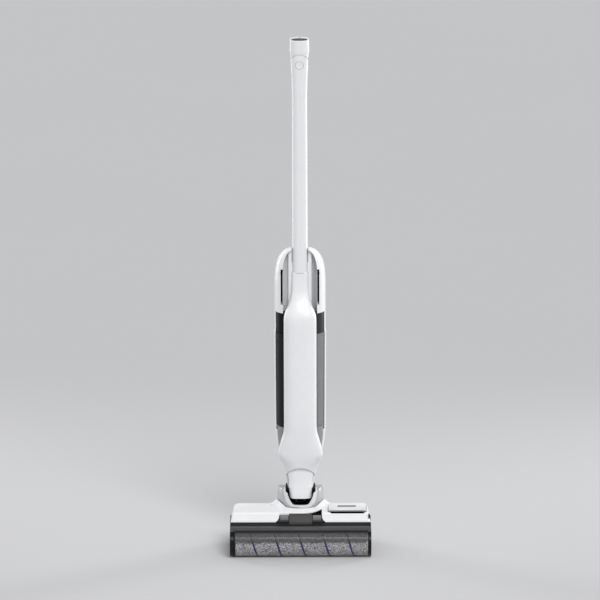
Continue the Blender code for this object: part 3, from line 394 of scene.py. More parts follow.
def show(obj, body, slot, material, *stands_for, edge, angle=32.0, segments=2):
    """Finishes a piece: clean mesh, rounded edges, its material, and the body that it rides on."""
    mesh = bmesh.new()
    mesh.from_mesh(obj.data)
    bmesh.ops.remove_doubles(mesh, verts=mesh.verts, dist=2e-5)
    bmesh.ops.dissolve_degenerate(mesh, edges=mesh.edges, dist=4e-5)
    mesh.to_mesh(obj.data)
    mesh.free()
    obj.data.materials.clear()
    obj.data.materials.append(material)
    obj.data.polygons.foreach_set("use_smooth", [True] * len(obj.data.polygons))
    if edge:
        bevel = obj.modifiers.new("edges", "BEVEL")
        bevel.width, bevel.segments = edge * MM, segments
        bevel.limit_method, bevel.angle_limit = "ANGLE", math.radians(angle)
        bevel.use_clamp_overlap = False
        bevel.miter_outer = "MITER_ARC"
    else:
        obj.data.set_sharp_from_angle(angle=math.radians(angle))
    soften = obj.modifiers.new("normals", "WEIGHTED_NORMAL")
    soften.keep_sharp = True
    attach(obj, body)
    if stands_for:
        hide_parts(*stands_for)
    return obj


# ---- head: white cover ----
SIDE_EDGE = [(-46.0, 144.7), (-37.0, 141.0), (10.0, 138.5), (20.0, 137.3), (26.0, 135.0), (31.5, 130.0)]
END_ROUND, COLLAR = 4.0, 8.0


def collar(x, y):
    """Height of the raised collar that stands beside the fork."""
    away = (math.hypot(x, y - PITCH_Y) if y < PITCH_Y else abs(x)) - (FORK_R + 2.2)
    near = 1.0 - min(1.0, max(0.0, away / 9.5))
    side = smoothstep(abs(x) / (FORK_R + 2.2), 0.55, 0.93)
    return COLLAR * near * side * (1.0 - smoothstep(y, 52.0, 74.0))


def slab(name, profile, edge, centre_steps):
    """Sections side by side along X. edge(y) is the half width at y, and the ends are rounded over."""
    turns = [(END_ROUND * (1 - math.cos(math.radians(a))), END_ROUND * (1 - math.sin(math.radians(a))))
             for a in (90, 72, 54, 36, 18, 0)]
    stations = [(-1.0, out, drop) for out, drop in reversed(turns)]
    inner = [(-1.0 + 2.0 * i / centre_steps, None, 0.0) for i in range(1, centre_steps)]
    stations = stations + inner + [(1.0, out, drop) for out, drop in turns]
    rings = []
    for share, out, drop in stations:
        ring = []
        for y, z, sinks in profile:
            half = edge(y)
            x = share * (half - END_ROUND) if out is None else share * (half - out)
            lift = collar(x, y) if sinks else 0.0
            ring.append((x, y + (drop * 0.7 if y < CREASE[0] and sinks else 0.0), z - drop * sinks + lift))
        rings.append(ring)
    return loft(name, rings)


def face_profile():
    """Front to back over the top, then underneath. The third value is 1 where the ends round over."""
    points = [(FACE_FOOT[0], BASE_TOP + 0.3, 0), (FACE_FOOT[0], FACE_FOOT[1], 1)]
    for i in range(1, 9):
        t = i / 9
        points.append((FACE_FOOT[0] + (CREASE[0] - FACE_FOOT[0]) * t,
                       FACE_FOOT[1] + (CREASE[1] - FACE_FOOT[1]) * t - 0.5 * math.sin(math.pi * t), 1))
    points += [(CREASE[0] - 0.2, CREASE[1] - 0.8, 1), (CREASE[0] + 0.4, CREASE[1] + 0.1, 1)]
    y = CREASE[0] + 1.6
    while y < COVER_BACK[0] - 2.2:
        t = (y - CREASE[0]) / (COVER_BACK[0] - CREASE[0])
        foot = CREASE[1] + 0.4
        points.append((y, foot + (COVER_BACK[1] - foot) * math.sin(t * math.pi / 2), 1))
        y += 2.2
    points += [(COVER_BACK[0] - 1.6, COVER_BACK[1] - 0.1, 1), (COVER_BACK[0], COVER_BACK[1] - 0.8, 1),
               (31.0, 82.6, 1), (31.0, BASE_TOP + 0.3, 0)]
    return points


def tail_profile():
    points = [(14.0, BASE_TOP + 0.3, 0), (14.0, 80.0, 1), (16.0, 84.3, 1)]
    points += [(y, 84.6, 1) for y in np.arange(18.0, 29.0, 2.0)]
    for i in range(0, 30):
        t = i / 29
        points.append((30.0 + 59.0 * t, 84.6 - 17.6 * (1.12 * t - 0.12 * t * t), 1))
    return points + [(91.6, 65.4, 1), (92.4, 63.2, 1), (TAIL_BACK, 60.6, 1), (TAIL_BACK, BASE_TOP + 0.3, 0)]


def fork_plan(radius, back, half=None):
    half = half or radius
    start = math.degrees(math.acos(half / radius))
    return arc((0.0, PITCH_Y), radius, 180.0 + start, 360.0 - start, 48) + [(half, back), (-half, back)]


def head_cover():
    cover = slab("head_cover_white", face_profile(), lambda y: read(SIDE_EDGE, y), 150)
    tail = slab("tail_roof", tail_profile(), lambda y: TAIL_HALF, 70)
    join(cover, tail)
    notch = mirrored([(-54.0, 57.0), (-50.5, 65.6), (-46.5, 68.6), (-44.2, 73.0), (-43.4, 79.0),
                      (-43.4, 90.0)])
    scoop = [(6.0, -40.0), (6.0, -36.9), (14.0, -35.6), (22.0, -32.6), (30.0, -27.0), (36.0, -20.4),
             (41.0, -12.6), (43.0, -12.0), (43.4, -16.0), (43.4, -40.0)]
    key = [(KEY_LEFT - 0.8, 14.0), (KEY_LEFT - 0.8, -30.0), (KEY_LEFT + 1.6, -34.6), (KEY_LEFT + 6.4, -37.2),
           (KEY_RIGHT - 6.0, -37.2), (KEY_RIGHT + 0.8, -34.0), (KEY_RIGHT + 0.8, 14.0)]
    inside = [(-42.2, 40.0), (-42.2, 65.4), (-35.0, 80.4), (28.0, 82.2), (28.0, 40.0)]
    tail_inside = [(10.0, 40.0), (10.0, 81.6), (29.0, 81.6), (88.0, 63.4), (90.8, 61.0), (90.8, 40.0)]
    cut(
        cover,
        plate("cover_inside", "X", -132.0, 132.0, inside),
        plate("tail_inside", "X", -63.4, 63.4, tail_inside),
        plate("fork_well", "Z", 40.0, 110.0, fork_plan(FORK_R + 2.0, 70.3)),
        plate("front_notch", "Y", -60.0, -36.9, notch),
        plate("finger_scoop", "Z", 40.0, 95.0, scoop),
        plate("key_well", "Z", 78.6, 95.0, key),
    )
    show(cover, "head", "white_plastic", WHITE, "head_top_cover", edge=0.7, angle=38.0)
    # The well's floor under the key is painted black as the shadow gap beneath its lip.
    floor = plate("key_well_floor_painted_shade", "Z", 77.0, 78.5, [(x * 0.999, y) for x, y in key])
    show(floor, "head", "black_plastic", BLACK, edge=0.0)
    slit = [(-41.6, 80.6), (-38.6, 81.2), (-40.2, 73.2), (-43.4, 72.4)]
    mark = plate("side_release_slit", "X", 139.4, 141.9, slit)
    show(mark, "head", "black_plastic", BLACK, edge=0.2)


def release_key():
    back, foot, steps = 13.2, 81.9, 20
    top = [(KEY_LIP_Y, KEY_LIP_Z - 1.0), (KEY_LIP_Y + 1.0, KEY_LIP_Z)]
    for i in range(1, steps + 1):
        t = i / steps
        fall = 84.2 + (KEY_LIP_Z - 84.2) * (1 - t) ** 1.6
        top.append((KEY_LIP_Y + 1.0 + (back - KEY_LIP_Y - 1.0) * t, fall))
    side = top + [(back, foot), (KEY_LIP_Y + 3.0, foot), (KEY_LIP_Y + 0.6, 85.2)]
    key = plate("release_key", "X", KEY_LEFT, KEY_RIGHT, side)
    plan = [(KEY_LEFT, back), (KEY_LEFT, KEY_LIP_Y + 6.0)]
    plan += arc((KEY_LEFT + 6.0, KEY_LIP_Y + 6.0), 6.0, 180.0, 270.0, 8)[1:]
    plan += [(KEY_RIGHT - 5.0, KEY_LIP_Y)] + arc((KEY_RIGHT - 5.0, KEY_LIP_Y + 5.0), 5.0, 270.0, 360.0, 8)[1:]
    keep(key, plate("key_plan", "Z", 70.0, 95.0, plan + [(KEY_RIGHT, back)]))
    cut(key, box("bar_recess", (76.0, -1.2, 83.7), (114.2, 11.6, 95.0)))
    show(key, "cover_release", "white_plastic", WHITE, "cover_release_button", edge=0.6)
    bar = box("release_key_bar", (76.3, -0.9, 82.6), (113.9, 11.3, 84.0))
    show(bar, "cover_release", "grey_plastic", DARK_GREY, edge=0.3)


# ---- head: roller, window, band, cheeks ----
def band_point(t, depth):
    """A point of the band's section: t up the slope from its front edge, and depth under its face."""
    reach = WINDOW_R - depth
    return (ROLLER_Y - reach * math.sin(BAND_SLOPE) + t * math.cos(BAND_SLOPE),
            ROLLER_Z + reach * math.cos(BAND_SLOPE) + t * math.sin(BAND_SLOPE))


def roller_cover():
    """A rounded grey band in front of a sunk strip painted black as shade, over the window."""
    def strip(name, half, section, material, **looks):
        show(plate(name, "X", -half, half, section), "roller_cover", "gloss_black", material, **looks)

    back, sunk, steps = FACE_FOOT[0] - 0.5, 14.6, 12
    span = (back - band_point(0.0, 0.0)[0]) / math.cos(BAND_SLOPE)
    face = [band_point(-2.0 + (span - 12.8) * i / steps, 1.5 - 1.5 * math.sin(math.pi * i / (steps + 2)))
            for i in range(steps + 1)]
    face += [band_point(span - sunk, 1.9), band_point(span, 1.9)]
    under = [(back, 59.0), (back - 1.8, 59.0), band_point(span - 2.2, 3.0), band_point(-2.0, 3.0)]
    band = plate("roller_cover_band", "X", 0.4 - HEAD_HALF, HEAD_HALF - 0.4, face + under)
    show(band, "roller_cover", "gloss_black", BAND, "roller_cover_frame", edge=0.5)
    # The sunk strip behind the band is painted black: painted shade under the white face.
    start, end = span - sunk - 0.2, span + 0.4
    recess = [band_point(start, 1.5), band_point(end, 1.5), band_point(end, 2.4), band_point(start, 2.4)]
    strip("roller_cover_recess_painted_shade", HEAD_HALF - 0.8, recess, BLACK, edge=0.0)
    seal = [(ROLLER_Y - r * math.cos(math.radians(a)), ROLLER_Z + r * math.sin(math.radians(a)))
            for r, turns in ((30.4, range(56, 73, 2)), (28.4, range(72, 55, -2))) for a in turns]
    lip = plate("roller_cover_seal", "X", -137.0, 138.6, seal)
    show(lip, "roller_cover", "gloss_black", BLACK, edge=0.2)
    top_y, top_z = band_point(span, 0.0)
    panel = [band_point(span - 8.0, 2.6), band_point(span - 8.4, 0.9), (top_y - 0.6, top_z + 1.6),
             (-40.0, 80.2), (-38.2, 81.6), (-37.6, 81.2), (back + 1.5, 62.0)]
    strip("latch_panel", 23.6, panel, PANEL, edge=0.6)
    # The notch's floor behind the panel and clips is painted black, as the shade under the notch's upper edge.
    well = [(top_y - 0.6, top_z - 2.4), (top_y - 0.6, top_z - 0.6), (-38.0, 76.0), (-37.4, 76.0),
            (back + 1.5, 62.0)]
    strip("latch_well_painted_shade", 46.4, well, BLACK, edge=0.3)
    hook = [(-44.2, 67.6), (-44.6, 72.0), (-42.0, 77.4), (-39.8, 79.2), (-38.0, 78.6), (-38.8, 69.6)]
    for side, name in SIDES:
        clip = plate("latch_clip_" + name, "X", *sorted((side * 24.6, side * 42.4)), hook)
        show(clip, "roller_cover", "grey_plastic", CLIP, edge=1.8, segments=4)
    show(window_sheet(), "roller_cover", "smoked_plastic", SMOKE, "roller_window", edge=0.0, angle=40.0)


def window_sheet():
    """The curved clear window, with its lower corners rounded."""
    steps, stations, thick = 28, 24, 1.6
    rows = []
    for i in range(steps + 1):
        degrees = WINDOW_LOW + (WINDOW_HIGH - WINDOW_LOW) * i / steps
        rise = math.radians(degrees - WINDOW_LOW) * WINDOW_R
        tuck = WINDOW_CORNER - math.sqrt(WINDOW_CORNER**2 - max(0.0, WINDOW_CORNER - rise) ** 2)
        rows.append((math.radians(degrees), WINDOW_LEFT + tuck, WINDOW_RIGHT - tuck))
    mesh = bmesh.new()
    rings = []
    for k in range(stations + 1):
        points = []
        for radius, order in ((WINDOW_R, rows), (WINDOW_R - thick, rows[::-1])):
            points += [(start + (end - start) * k / stations, ROLLER_Y - radius * math.cos(turn),
                        ROLLER_Z + radius * math.sin(turn)) for turn, start, end in order]
        rings.append(ring_of(mesh, points))
    for one, two in zip(rings, rings[1:]):
        bridge(mesh, one, two)
    for ring in (rings[0], rings[-1]):
        for i in range(steps):
            mesh.faces.new((ring[i], ring[i + 1], ring[-2 - i], ring[-1 - i]))
    return from_bmesh(mesh, "roller_window_clear")


def roller_pile():
    """The pile's tips, and how near each point is to the wound stripe."""
    around, along, bore = 220, 250, 21.0
    mesh = bmesh.new()
    turns = [2 * math.pi * i / around for i in range(around)]
    rows, marks = [], []
    for k in range(along + 1):
        x = ROLLER_LEFT + (ROLLER_RIGHT - ROLLER_LEFT) * k / along
        rounded = (1.1, 0.45, 0.12, 0.0)[min(k, along - k, 3)]
        points = []
        for t in turns:
            lump = noise.noise(Vector((x * 0.55, 17.0 * math.cos(t), 17.0 * math.sin(t))))
            fine = noise.noise(Vector((x * 1.3 + 40.0, 40.0 * math.cos(t), 40.0 * math.sin(t))))
            radius = min(ROLLER_R, ROLLER_R - 0.45 - 0.28 * lump - 0.22 * fine - rounded)
            points.append((x, ROLLER_Y - radius * math.cos(t), ROLLER_Z + radius * math.sin(t)))
            wound = x + STRIPE_LEAD * t / (2 * math.pi)  # the stripe moves right on its way down the front
            phase = (wound - STRIPE_START + STRIPE_WIDTH / 2) % STRIPE_LEAD
            near = 1.0 - abs(phase - STRIPE_WIDTH / 2) / (STRIPE_WIDTH / 2) if phase < STRIPE_WIDTH else 0.0
            marks.append(min(1.0, near * 1.6))
        rows.append(ring_of(mesh, points))
    for one, two in zip(rows, rows[1:]):
        bridge(mesh, one, two)
    caps = [ring_of(mesh, [(x, ROLLER_Y - bore * math.cos(t), ROLLER_Z + bore * math.sin(t)) for t in turns])
            for x in (ROLLER_LEFT, ROLLER_RIGHT)]
    marks += [0.0] * (2 * around)
    bridge(mesh, rows[0], caps[0])
    bridge(mesh, rows[-1], caps[1])
    bridge(mesh, *caps)
    sleeve = from_bmesh(mesh, "roller_pile")
    layer = sleeve.data.attributes.new("stripe", "FLOAT", "POINT")
    layer.data.foreach_set("value", marks)
    sleeve.data.materials.append(NAP)
    sleeve.data.polygons.foreach_set("use_smooth", [True] * len(sleeve.data.polygons))
    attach(sleeve, "roller")
    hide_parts("roller_sleeve")


def cheek_outline(inset=0.0, back=30.0, steps=40):
    radius = CHEEK_R - inset
    foot = 180.0 + math.degrees(math.asin((ROLLER_Z - 2.5 - inset) / radius))
    points = arc(ROLLER_AXIS, radius, 72.0, foot, steps)
    points += [(-30.0 + inset, 2.5 + inset), (back - 4.0, 4.5 + inset), (back - inset, 9.0 + inset)]
    return points + [(back - inset, BASE_TOP - inset), (-46.0 + inset, BASE_TOP - inset)]


def cheeks():
    left = plate("gear_cheek", "X", -HEAD_HALF, -137.8, cheek_outline())
    cut(left, plate("gear_cheek_dish", "X", -HEAD_HALF - 1.0, -HEAD_HALF + 0.8, cheek_outline(4.0)),
        plate("gear_space", "X", -142.8, -130.0, cheek_outline(2.4)))
    show(left, "head", "gloss_black", GLOSS, "gear_side_cover", edge=0.8, segments=3)
    outline = cheek_outline(back=0.0)[:-5] + [(-30.0, 2.5), (-30.0, 55.0), (-46.0, 55.0)]
    right = plate("end_cap_cheek", "X", 139.0, HEAD_HALF, outline)
    bottom, past = HEAD_HALF - 1.8, HEAD_HALF + 2.0
    groove = [(bottom, 15.0), (past, 15.0), (past, 19.0), (bottom, 19.0)]
    cut(right, turned("end_cap_groove", ROLLER_AXIS, groove),
        box("end_cap_grip", (HEAD_HALF - 2.4, -66.0, 20.4), (past, -62.0, 34.6)))
    join(right, rod("end_stub", 6.0, (130.0, *ROLLER_AXIS), (142.0, *ROLLER_AXIS)))
    show(right, "roller_carrier", "gloss_black", GLOSS, "roller_end_cap", edge=0.4)


def wheels():
    rim_r, shoulder_r, groove_depth, spoke_count = 17.4, 24.6, 0.8, 5
    for side, name in SIDES:
        inner, outer = side * WHEEL_IN, side * WHEEL_OUT
        tread = [(inner, rim_r), (inner, shoulder_r), (inner + side * 1.4, WHEEL_R)]
        for groove in (4.0, 8.0, 12.0):
            for step, sunk in ((-0.9, 0.0), (-0.5, groove_depth), (0.5, groove_depth), (0.9, 0.0)):
                tread.append((inner + side * (groove + step), WHEEL_R - sunk))
        tread += [(outer - side * 1.4, WHEEL_R), (outer, shoulder_r), (outer, rim_r)]
        tyre = turned("tyre_" + name, (WHEEL_Y, WHEEL_R), tread)
        show(tyre, "wheel_" + name, "rubber", RUBBER, "wheel_tyre_" + name, edge=0.0, angle=30.0)
        hub = [(inner, 2.4), (inner, 17.1), (outer - side * 0.6, 17.1), (outer, 16.4), (outer, 14.2),
               (outer - side * 3.0, 12.8), (outer - side * 3.0, 6.4), (outer, 5.4), (outer, 2.4)]
        disc = turned("hub_" + name, (WHEEL_Y, WHEEL_R), hub, 72)
        dishes = []
        for i in range(spoke_count):
            t = 2 * math.pi * i / spoke_count
            y, z = WHEEL_Y + 9.7 * math.cos(t), WHEEL_R + 9.7 * math.sin(t)
            dishes.append(rod("hub_dish", 2.5, (outer - side * 5.0, y, z), (outer + side * 2.0, y, z), 24))
        cut(disc, *dishes)
        show(disc, "wheel_" + name, "grey_plastic", GREY, "wheel_hub_" + name, edge=0.3)


# ---- fork and neck ----
MOUTH_FOOT = 88.4
MOUTH = [  # share of the width, height above the foot
    (0.82, 46.0), (0.735, 26.0), (0.66, 17.0), (0.575, 10.0), (0.50, 5.6), (0.44, 2.6), (0.385, 0.7),
    (0.32, 0.0),
]
FORK_SIDE = [
    (-12.0, 50.0), (-12.0, 94.0), (-6.0, 94.6), (-2.0, 98.6), (1.0, 104.6), (5.0, 110.6), (11.0, 115.0),
    (18.0, 117.6), (27.0, 118.8), (36.0, HORN_TOP), (45.0, 118.6), (50.0, 116.4), (54.0, 112.6),
    (58.0, 105.4), (62.0, 95.8), (66.0, 86.4), (70.0, 80.2), (70.0, 50.0),
]


def fork_mouth(drop=0.0, spread=0.0):
    """The opening in the fork's front, flared forward. It is round at the foot."""
    rings = []
    stations = ((-14.0, 44.0, 0.0), (6.0, 38.4, 1.2), (17.0, FORK_INNER, 3.0), (30.0, FORK_INNER, 3.0))
    for y, wide, lift in stations:
        foot = MOUTH_FOOT + lift - drop
        rings.append(mirrored([(-(wide + spread) * share, y, foot + rise) for share, rise in MOUTH]))
    return loft("fork_mouth", rings)


def hose_bore():
    return upright("hose_bore", HOSE_BORE, PITCH_Y, 50.0, 90.0)


def pitch_rod(name, radius, start, end, sides=64):
    """A rod on the pitch axis."""
    return rod(name, radius, (start, PITCH_Y, PITCH_Z), (end, PITCH_Y, PITCH_Z), sides)


def fork():
    """The satin cup, a band round its mouth painted brighter as a highlight, and its inside painted black as
    shade.
    """
    levels = [(BASE_TOP + 0.3, 0.0), (70.0, 0.0), (84.0, 0.0), (95.0, 0.5), (108.0, 1.6), (HORN_TOP, 3.4)]
    rings = []
    for z, tuck in dense(levels, 4.0):
        shrink = (FORK_R - tuck) / FORK_R
        rings.append([(x * shrink, y if y > PITCH_Y else PITCH_Y + (y - PITCH_Y) * shrink, z)
                      for x, y in fork_plan(FORK_R, 68.5)])
    cup = loft("swivel_fork_satin", rings)
    keep(cup, plate("fork_side", "X", -60.0, 60.0, FORK_SIDE))
    # The band round the mouth is a copy of the cup, painted a brighter silver as a highlight.
    highlight_band = cup.copy()
    highlight_band.data, highlight_band.name = cup.data.copy(), "fork_mouth_painted_highlight"
    bpy.context.scene.collection.objects.link(highlight_band)
    bowl = fork_plan(FORK_R - 4.0, 80.0, FORK_INNER)
    drop, spread = 4.0, 14.0  # the highlight band's breadth at the foot and at the horns
    keep(highlight_band, fork_mouth(drop, spread))
    cut(highlight_band, fork_mouth(), plate("trim_bowl", "Z", 60.0, 130.0, bowl))
    show(highlight_band, "head", "satin_silver", SILVER_PAINTED_HIGHLIGHT, edge=0.3)
    cut(cup, fork_mouth(drop, spread), plate("fork_bowl", "Z", 78.0, 130.0, bowl), hose_bore(),
        pitch_rod("pitch_bore", PIN_BORE, -60.0, 60.0))
    show(cup, "head", "satin_silver", SILVER, "swivel_fork", edge=1.2, segments=4)
    # Painted shade: a thin black sheet over the inside of the cup, where the hollow is dark.
    inside_shade = plate("fork_inside_painted_shade", "Z", 78.1, 116.0, fork_plan(43.9, 68.0, FORK_INNER - 0.1))
    keep(inside_shade, plate("inside_shade_side", "X", -60.0, 60.0, [(y, z - 1.2) for y, z in FORK_SIDE]))
    cut(inside_shade, plate("inside_shade_space", "Z", 78.8, 130.0, fork_plan(43.2, 80.0, FORK_INNER - 0.6)),
        fork_mouth(0.6, 1.0), hose_bore(), pitch_rod("pitch_bore", PIN_BORE, -60.0, 60.0))
    show(inside_shade, "head", "black_plastic", BLACK, edge=0.0)
    # The fork's satin rear wall painted black, as shade inside the cup.
    rear_wall_shade = box("fork_rear_wall", (-30.2, 61.4, 78.5), (30.2, 64.6, 90.6))
    show(rear_wall_shade, "head", "satin_silver", BLACK, edge=0.3)
    for side, name in SIDES:
        pin = pitch_rod("pin_" + name, PIN_R, side * 24.5, side * 46.0, 48)
        cut(pin, pitch_rod("pin_socket", 2.2, side * 44.4, side * 50.0, 6))
        show(pin, "head", "steel", STEEL, "pitch_pin_" + name, edge=0.5)


KNUCKLE = [  # height, half width, front, back, power
    (99.6, 23.4, 6.4, 61.6, 4.2), (112.0, 23.6, 5.8, 62.0, 4.2), (118.0, 24.0, 5.8, 62.0, 4.0),
    (123.0, 26.2, 5.8, 62.0, 3.6), (128.0, 27.4, 5.9, 62.0, 3.2), (136.0, 28.3, 6.0, 62.0, 2.9),
    (144.0, 29.9, 5.8, 62.0, 2.8), (150.0, KNUCKLE_R, 5.8, 62.0, 2.8), (170.0, KNUCKLE_R, 5.8, 62.0, 2.8),
]


def neck():
    knuckle = loft("neck_knuckle_white", [oval(*row) for row in dense(KNUCKLE, 2.0)])
    dome = arch("knuckle_crown", CROWN_R, STEER_Z)
    keep(knuckle, join(dome, box("knuckle_below", (-60.0, -20.0, 80.0), (60.0, 90.0, STEER_Z + 6.0))))
    cut(knuckle, box("yoke_slot", (-60.0, 13.6, STEER_Z - 10.6), (60.0, 24.4, 190.0)),
        upright("neck_way", 10.8, RISER_Y, 90.0, 190.0))
    for side, name in SIDES:
        cut(knuckle, pitch_rod("trunnion_bore", PIN_BORE, side * 10.0, side * 40.0))
        # The trunnion bosses are painted black as the shade between the neck and the horns.
        boss = pitch_rod("pitch_boss_painted_shade_" + name, 13.0, side * 18.0, side * 30.2)
        cut(boss, pitch_rod("boss_bore", PIN_BORE, side * 10.0, side * 40.0))
        show(boss, "neck", "black_plastic", BLACK, edge=0.4)
    show(knuckle, "neck", "white_plastic", WHITE, "neck_knuckle", edge=0.6, angle=36.0, segments=3)


# ---- stick body ----
BODY_POWER, POLE_POWER = 2.2, 2.6  # how square the rings of the body and of the pole are
SKIRT = [  # height, half width, front, widest, back, power in front
    (147.0, 31.0, 5.6, 34.0, 62.4, 2.6), (154.0, 33.0, 4.0, 34.0, 64.0, 2.6),
    (162.0, 35.9, 2.0, 33.0, 67.0, 2.6), (175.0, 40.6, -1.0, 27.0, 71.0, 2.75),
    (186.0, 44.6, -3.5, 18.0, 74.5, 2.8), (192.0, 46.2, -4.6, 13.5, 76.0, 2.8),
    (LEDGE_Z, 46.1, -5.5, 11.1, 77.0, 2.8),
]
COLUMN = [  # height, half width, front, power
    (LEDGE_Z + 0.1, 46.0, -5.5, 2.8), (204.0, 45.0, -6.5, 2.8), (222.0, 40.6, -9.0, 2.8),
    (249.0, 34.2, -12.0, 2.8), (262.0, COLUMN_HALF, -13.2, 2.8), (300.0, COLUMN_HALF, COLUMN_FRONT, 2.8),
    (470.0, COLUMN_HALF, COLUMN_FRONT, 2.8), (488.0, 33.2, -12.4, 2.8), (499.0, 30.2, -8.4, 2.8),
    (511.0, 24.8, -1.6, 2.8), (524.0, 19.6, 6.2, 2.9), (541.0, 17.0, 12.4, 2.7), (566.0, 16.4, 15.4, 2.6),
    (POLE_FOOT - 0.02, 16.3, POLE_FRONT, 2.6),
]


def egg(z, half_width, front, widest, back, power, back_power=2.6):
    """A level ring whose front and back halves have their own depths."""
    ring = []
    for x, y, _ in oval(0.0, half_width, -1.0, 1.0, power)[COUNT // 2:]:
        ring.append((x, widest + (widest - front) * y, z))
    for x, y, _ in oval(0.0, half_width, -1.0, 1.0, back_power)[:COUNT // 2]:
        ring.append((x, widest + (back - widest) * y, z))
    return ring


def joint_slot():
    """A short groove where the pole meets the column."""
    return box("joint_slot", (-8.0, 0.0, POLE_FOOT - 0.3), (8.0, POLE_FRONT + 2.6, POLE_FOOT + 0.3))


def column():
    rings = [egg(*row) for row in dense(SKIRT, 2.5)]
    rings += [egg(z, half, front, (front + COLUMN_BACK) / 2, COLUMN_BACK, power, power)
              for z, half, front, power in dense(COLUMN, 3.5)]
    shell = loft("column_shell_white", rings)
    hollow = [egg(z - 1.5 * (z > 190.0), half - WALL, front + WALL, widest, back - WALL, power)
              for z, half, front, widest, back, power in SKIRT]
    hollow[0] = [(x, y, 140.0) for x, y, _ in hollow[0]]
    cut(shell, loft("skirt_hollow", hollow), arch("knuckle_space", CROWN_R + 0.6, STEER_Z),
        upright("riser_hole", RISER_BORE, RISER_Y, 180.0, 210.0), joint_slot())
    show(shell, "stick", "white_plastic", WHITE, "front_column", "column_back_plate", edge=0.5, angle=40.0)


TANK_FRONT, TANK_BACK = TANK_MID_Y - TANK_DEPTH, TANK_MID_Y + TANK_DEPTH
TANK_SIDES = dense([
    (LEDGE_Z, 46.0), (205.0, 47.4), (218.0, 49.6), (231.0, 51.4), (244.0, 52.2), (257.0, 52.6), (346.0, 53.1),
    (TANK_TOP, 53.5),
], 2.0)
TANK_BACKS = dense([
    (LEDGE_Z, 77.4), (218.0, 83.0), (244.0, 86.4), (257.0, TANK_BACK), (TANK_TOP, TANK_BACK),
], 2.0)
TANK_BODY = {-1: "dirty_tank", 1: "clean_tank"}
TANK_WALL = 1.9


def body_ring(z, inset=0.0, tuck=0.0):
    """The body's outline at a height. The inset is all round, and the tuck narrows the sides only."""
    half_width = read(TANK_SIDES, z) - inset - tuck
    return oval(z, half_width, TANK_FRONT + inset, read(TANK_BACKS, z) - inset, BODY_POWER)


def tank_rings(inset):
    start = TANK_FOOT + inset
    foot = [(start, 13.0), (TANK_FOOT + 0.6, 11.0), (TANK_FOOT + 2.4, 8.2), (TANK_FOOT + 6.0, 4.8),
            (252.0, 3.0)]
    rings = [body_ring(z, inset, tuck) for z, tuck in foot if z >= start]
    levels = (257.0, 262.0, 280.0, 300.0, 340.0, 380.0, 420.0, TANK_TOP - inset)
    return rings + [body_ring(z, inset, TANK_TUCK) for z in levels]


def column_space(rows, gap=0.5, extra=0.6):
    return [oval(z, half + gap, front - gap, COLUMN_BACK + extra, power)
            for z, half, front, power in dense(rows, 6.0)]


def half_space(side, start=0.5, front=-20.0):
    """Everything on one side of the middle, from a front plane on."""
    return side_box("half_space", side, (start, 80.0), (front, 200.0), (120.0, 600.0))


def lower_shell():
    levels = [LEDGE_Z + 0.4] + list(np.arange(200.0, 242.0, 3.0)) + [242.9]
    shell = loft("rear_shell_white", [body_ring(z) for z in levels])
    keep(shell, box("rear_half", (-70.0, COLUMN_BACK + 0.4, 190.0), (70.0, 100.0, 250.0)))
    cut(shell, upright("riser_way", RISER_BORE, RISER_Y, 190.0, 250.0))
    show(shell, "stick", "white_plastic", WHITE, "rear_shell_lower", edge=0.5)
    for side, name in SIDES:
        rings = [body_ring(z, 0.0, TANK_TUCK) for z in np.arange(204.0, 260.0, 3.0)]
        cradle = loft("cradle_grey_" + name, rings)
        keep(cradle, side_box("cradle_part", side, (20.0, 70.0), (-20.0, 190.0), (COLUMN_BACK, 300.0)))
        cut(cradle, loft("cradle_column", column_space(COLUMN[:7])), loft("cradle_seat", tank_rings(-0.4)))
        show(cradle, "stick", "grey_plastic", GREY, "tank_cradle_" + name, edge=0.4)


def tank(side, name, material, slot):
    body = loft(name + "_shell", tank_rings(0.0))
    keep(body, half_space(side))
    hollow = loft("tank_hollow", tank_rings(TANK_WALL)[:-1] + [body_ring(447.0, TANK_WALL, TANK_TUCK)])
    keep(hollow, half_space(side, 0.5 + TANK_WALL))
    inner = TANK_IN + TANK_WALL
    cut(hollow, box("hollow_column", (-inner, -40.0, 200.0), (inner, COLUMN_BACK + 2.4, 600.0)))
    rim = loft("rim", [body_ring(z, -6.0) for z in (230.0, 460.0)])
    keep(rim, box("back_strip", (-80.0, PANEL_Y - 0.4, 200.0), (80.0, 120.0, 600.0)))
    cut(rim, loft("panel_space", [body_ring(z, 1.7) for z in (230.0, 244.0, 257.0, 346.0, 460.0)]))
    cut(body, box("tank_column", (-TANK_IN, -40.0, 200.0), (TANK_IN, COLUMN_BACK + 0.5, 600.0)),
        loft("column_clear", column_space(COLUMN[:7], 0.6, 0.1)), hollow, rim)
    if side < 0:
        x, y = -14.0, 60.0
        pipe = rod("inlet_pipe", 9.0, (x, y, TANK_FOOT + 3.0), (x, y, 430.0), 48)
        cut(pipe, rod("inlet_bore", 7.2, (x, y, 230.0), (x, y, 440.0), 48))
        show(pipe, "dirty_tank", "smoked_plastic", BLACK, edge=0.3)
    show(body, TANK_BODY[side], slot, material, name, edge=0.4)


def tank_lid(side, name, material):
    levels = (TANK_TOP + 0.4, 470.0, LID_TOP)
    lid = loft(name + "_black", [body_ring(z, 1.9, TANK_TUCK - 1.3) for z in levels])
    keep(lid, half_space(side))
    cut(lid, box("lid_column", (-TANK_IN, -40.0, 400.0), (TANK_IN, COLUMN_BACK + 0.5, 600.0)))
    show(lid, TANK_BODY[side], "gloss_black", material, name, edge=0.4)


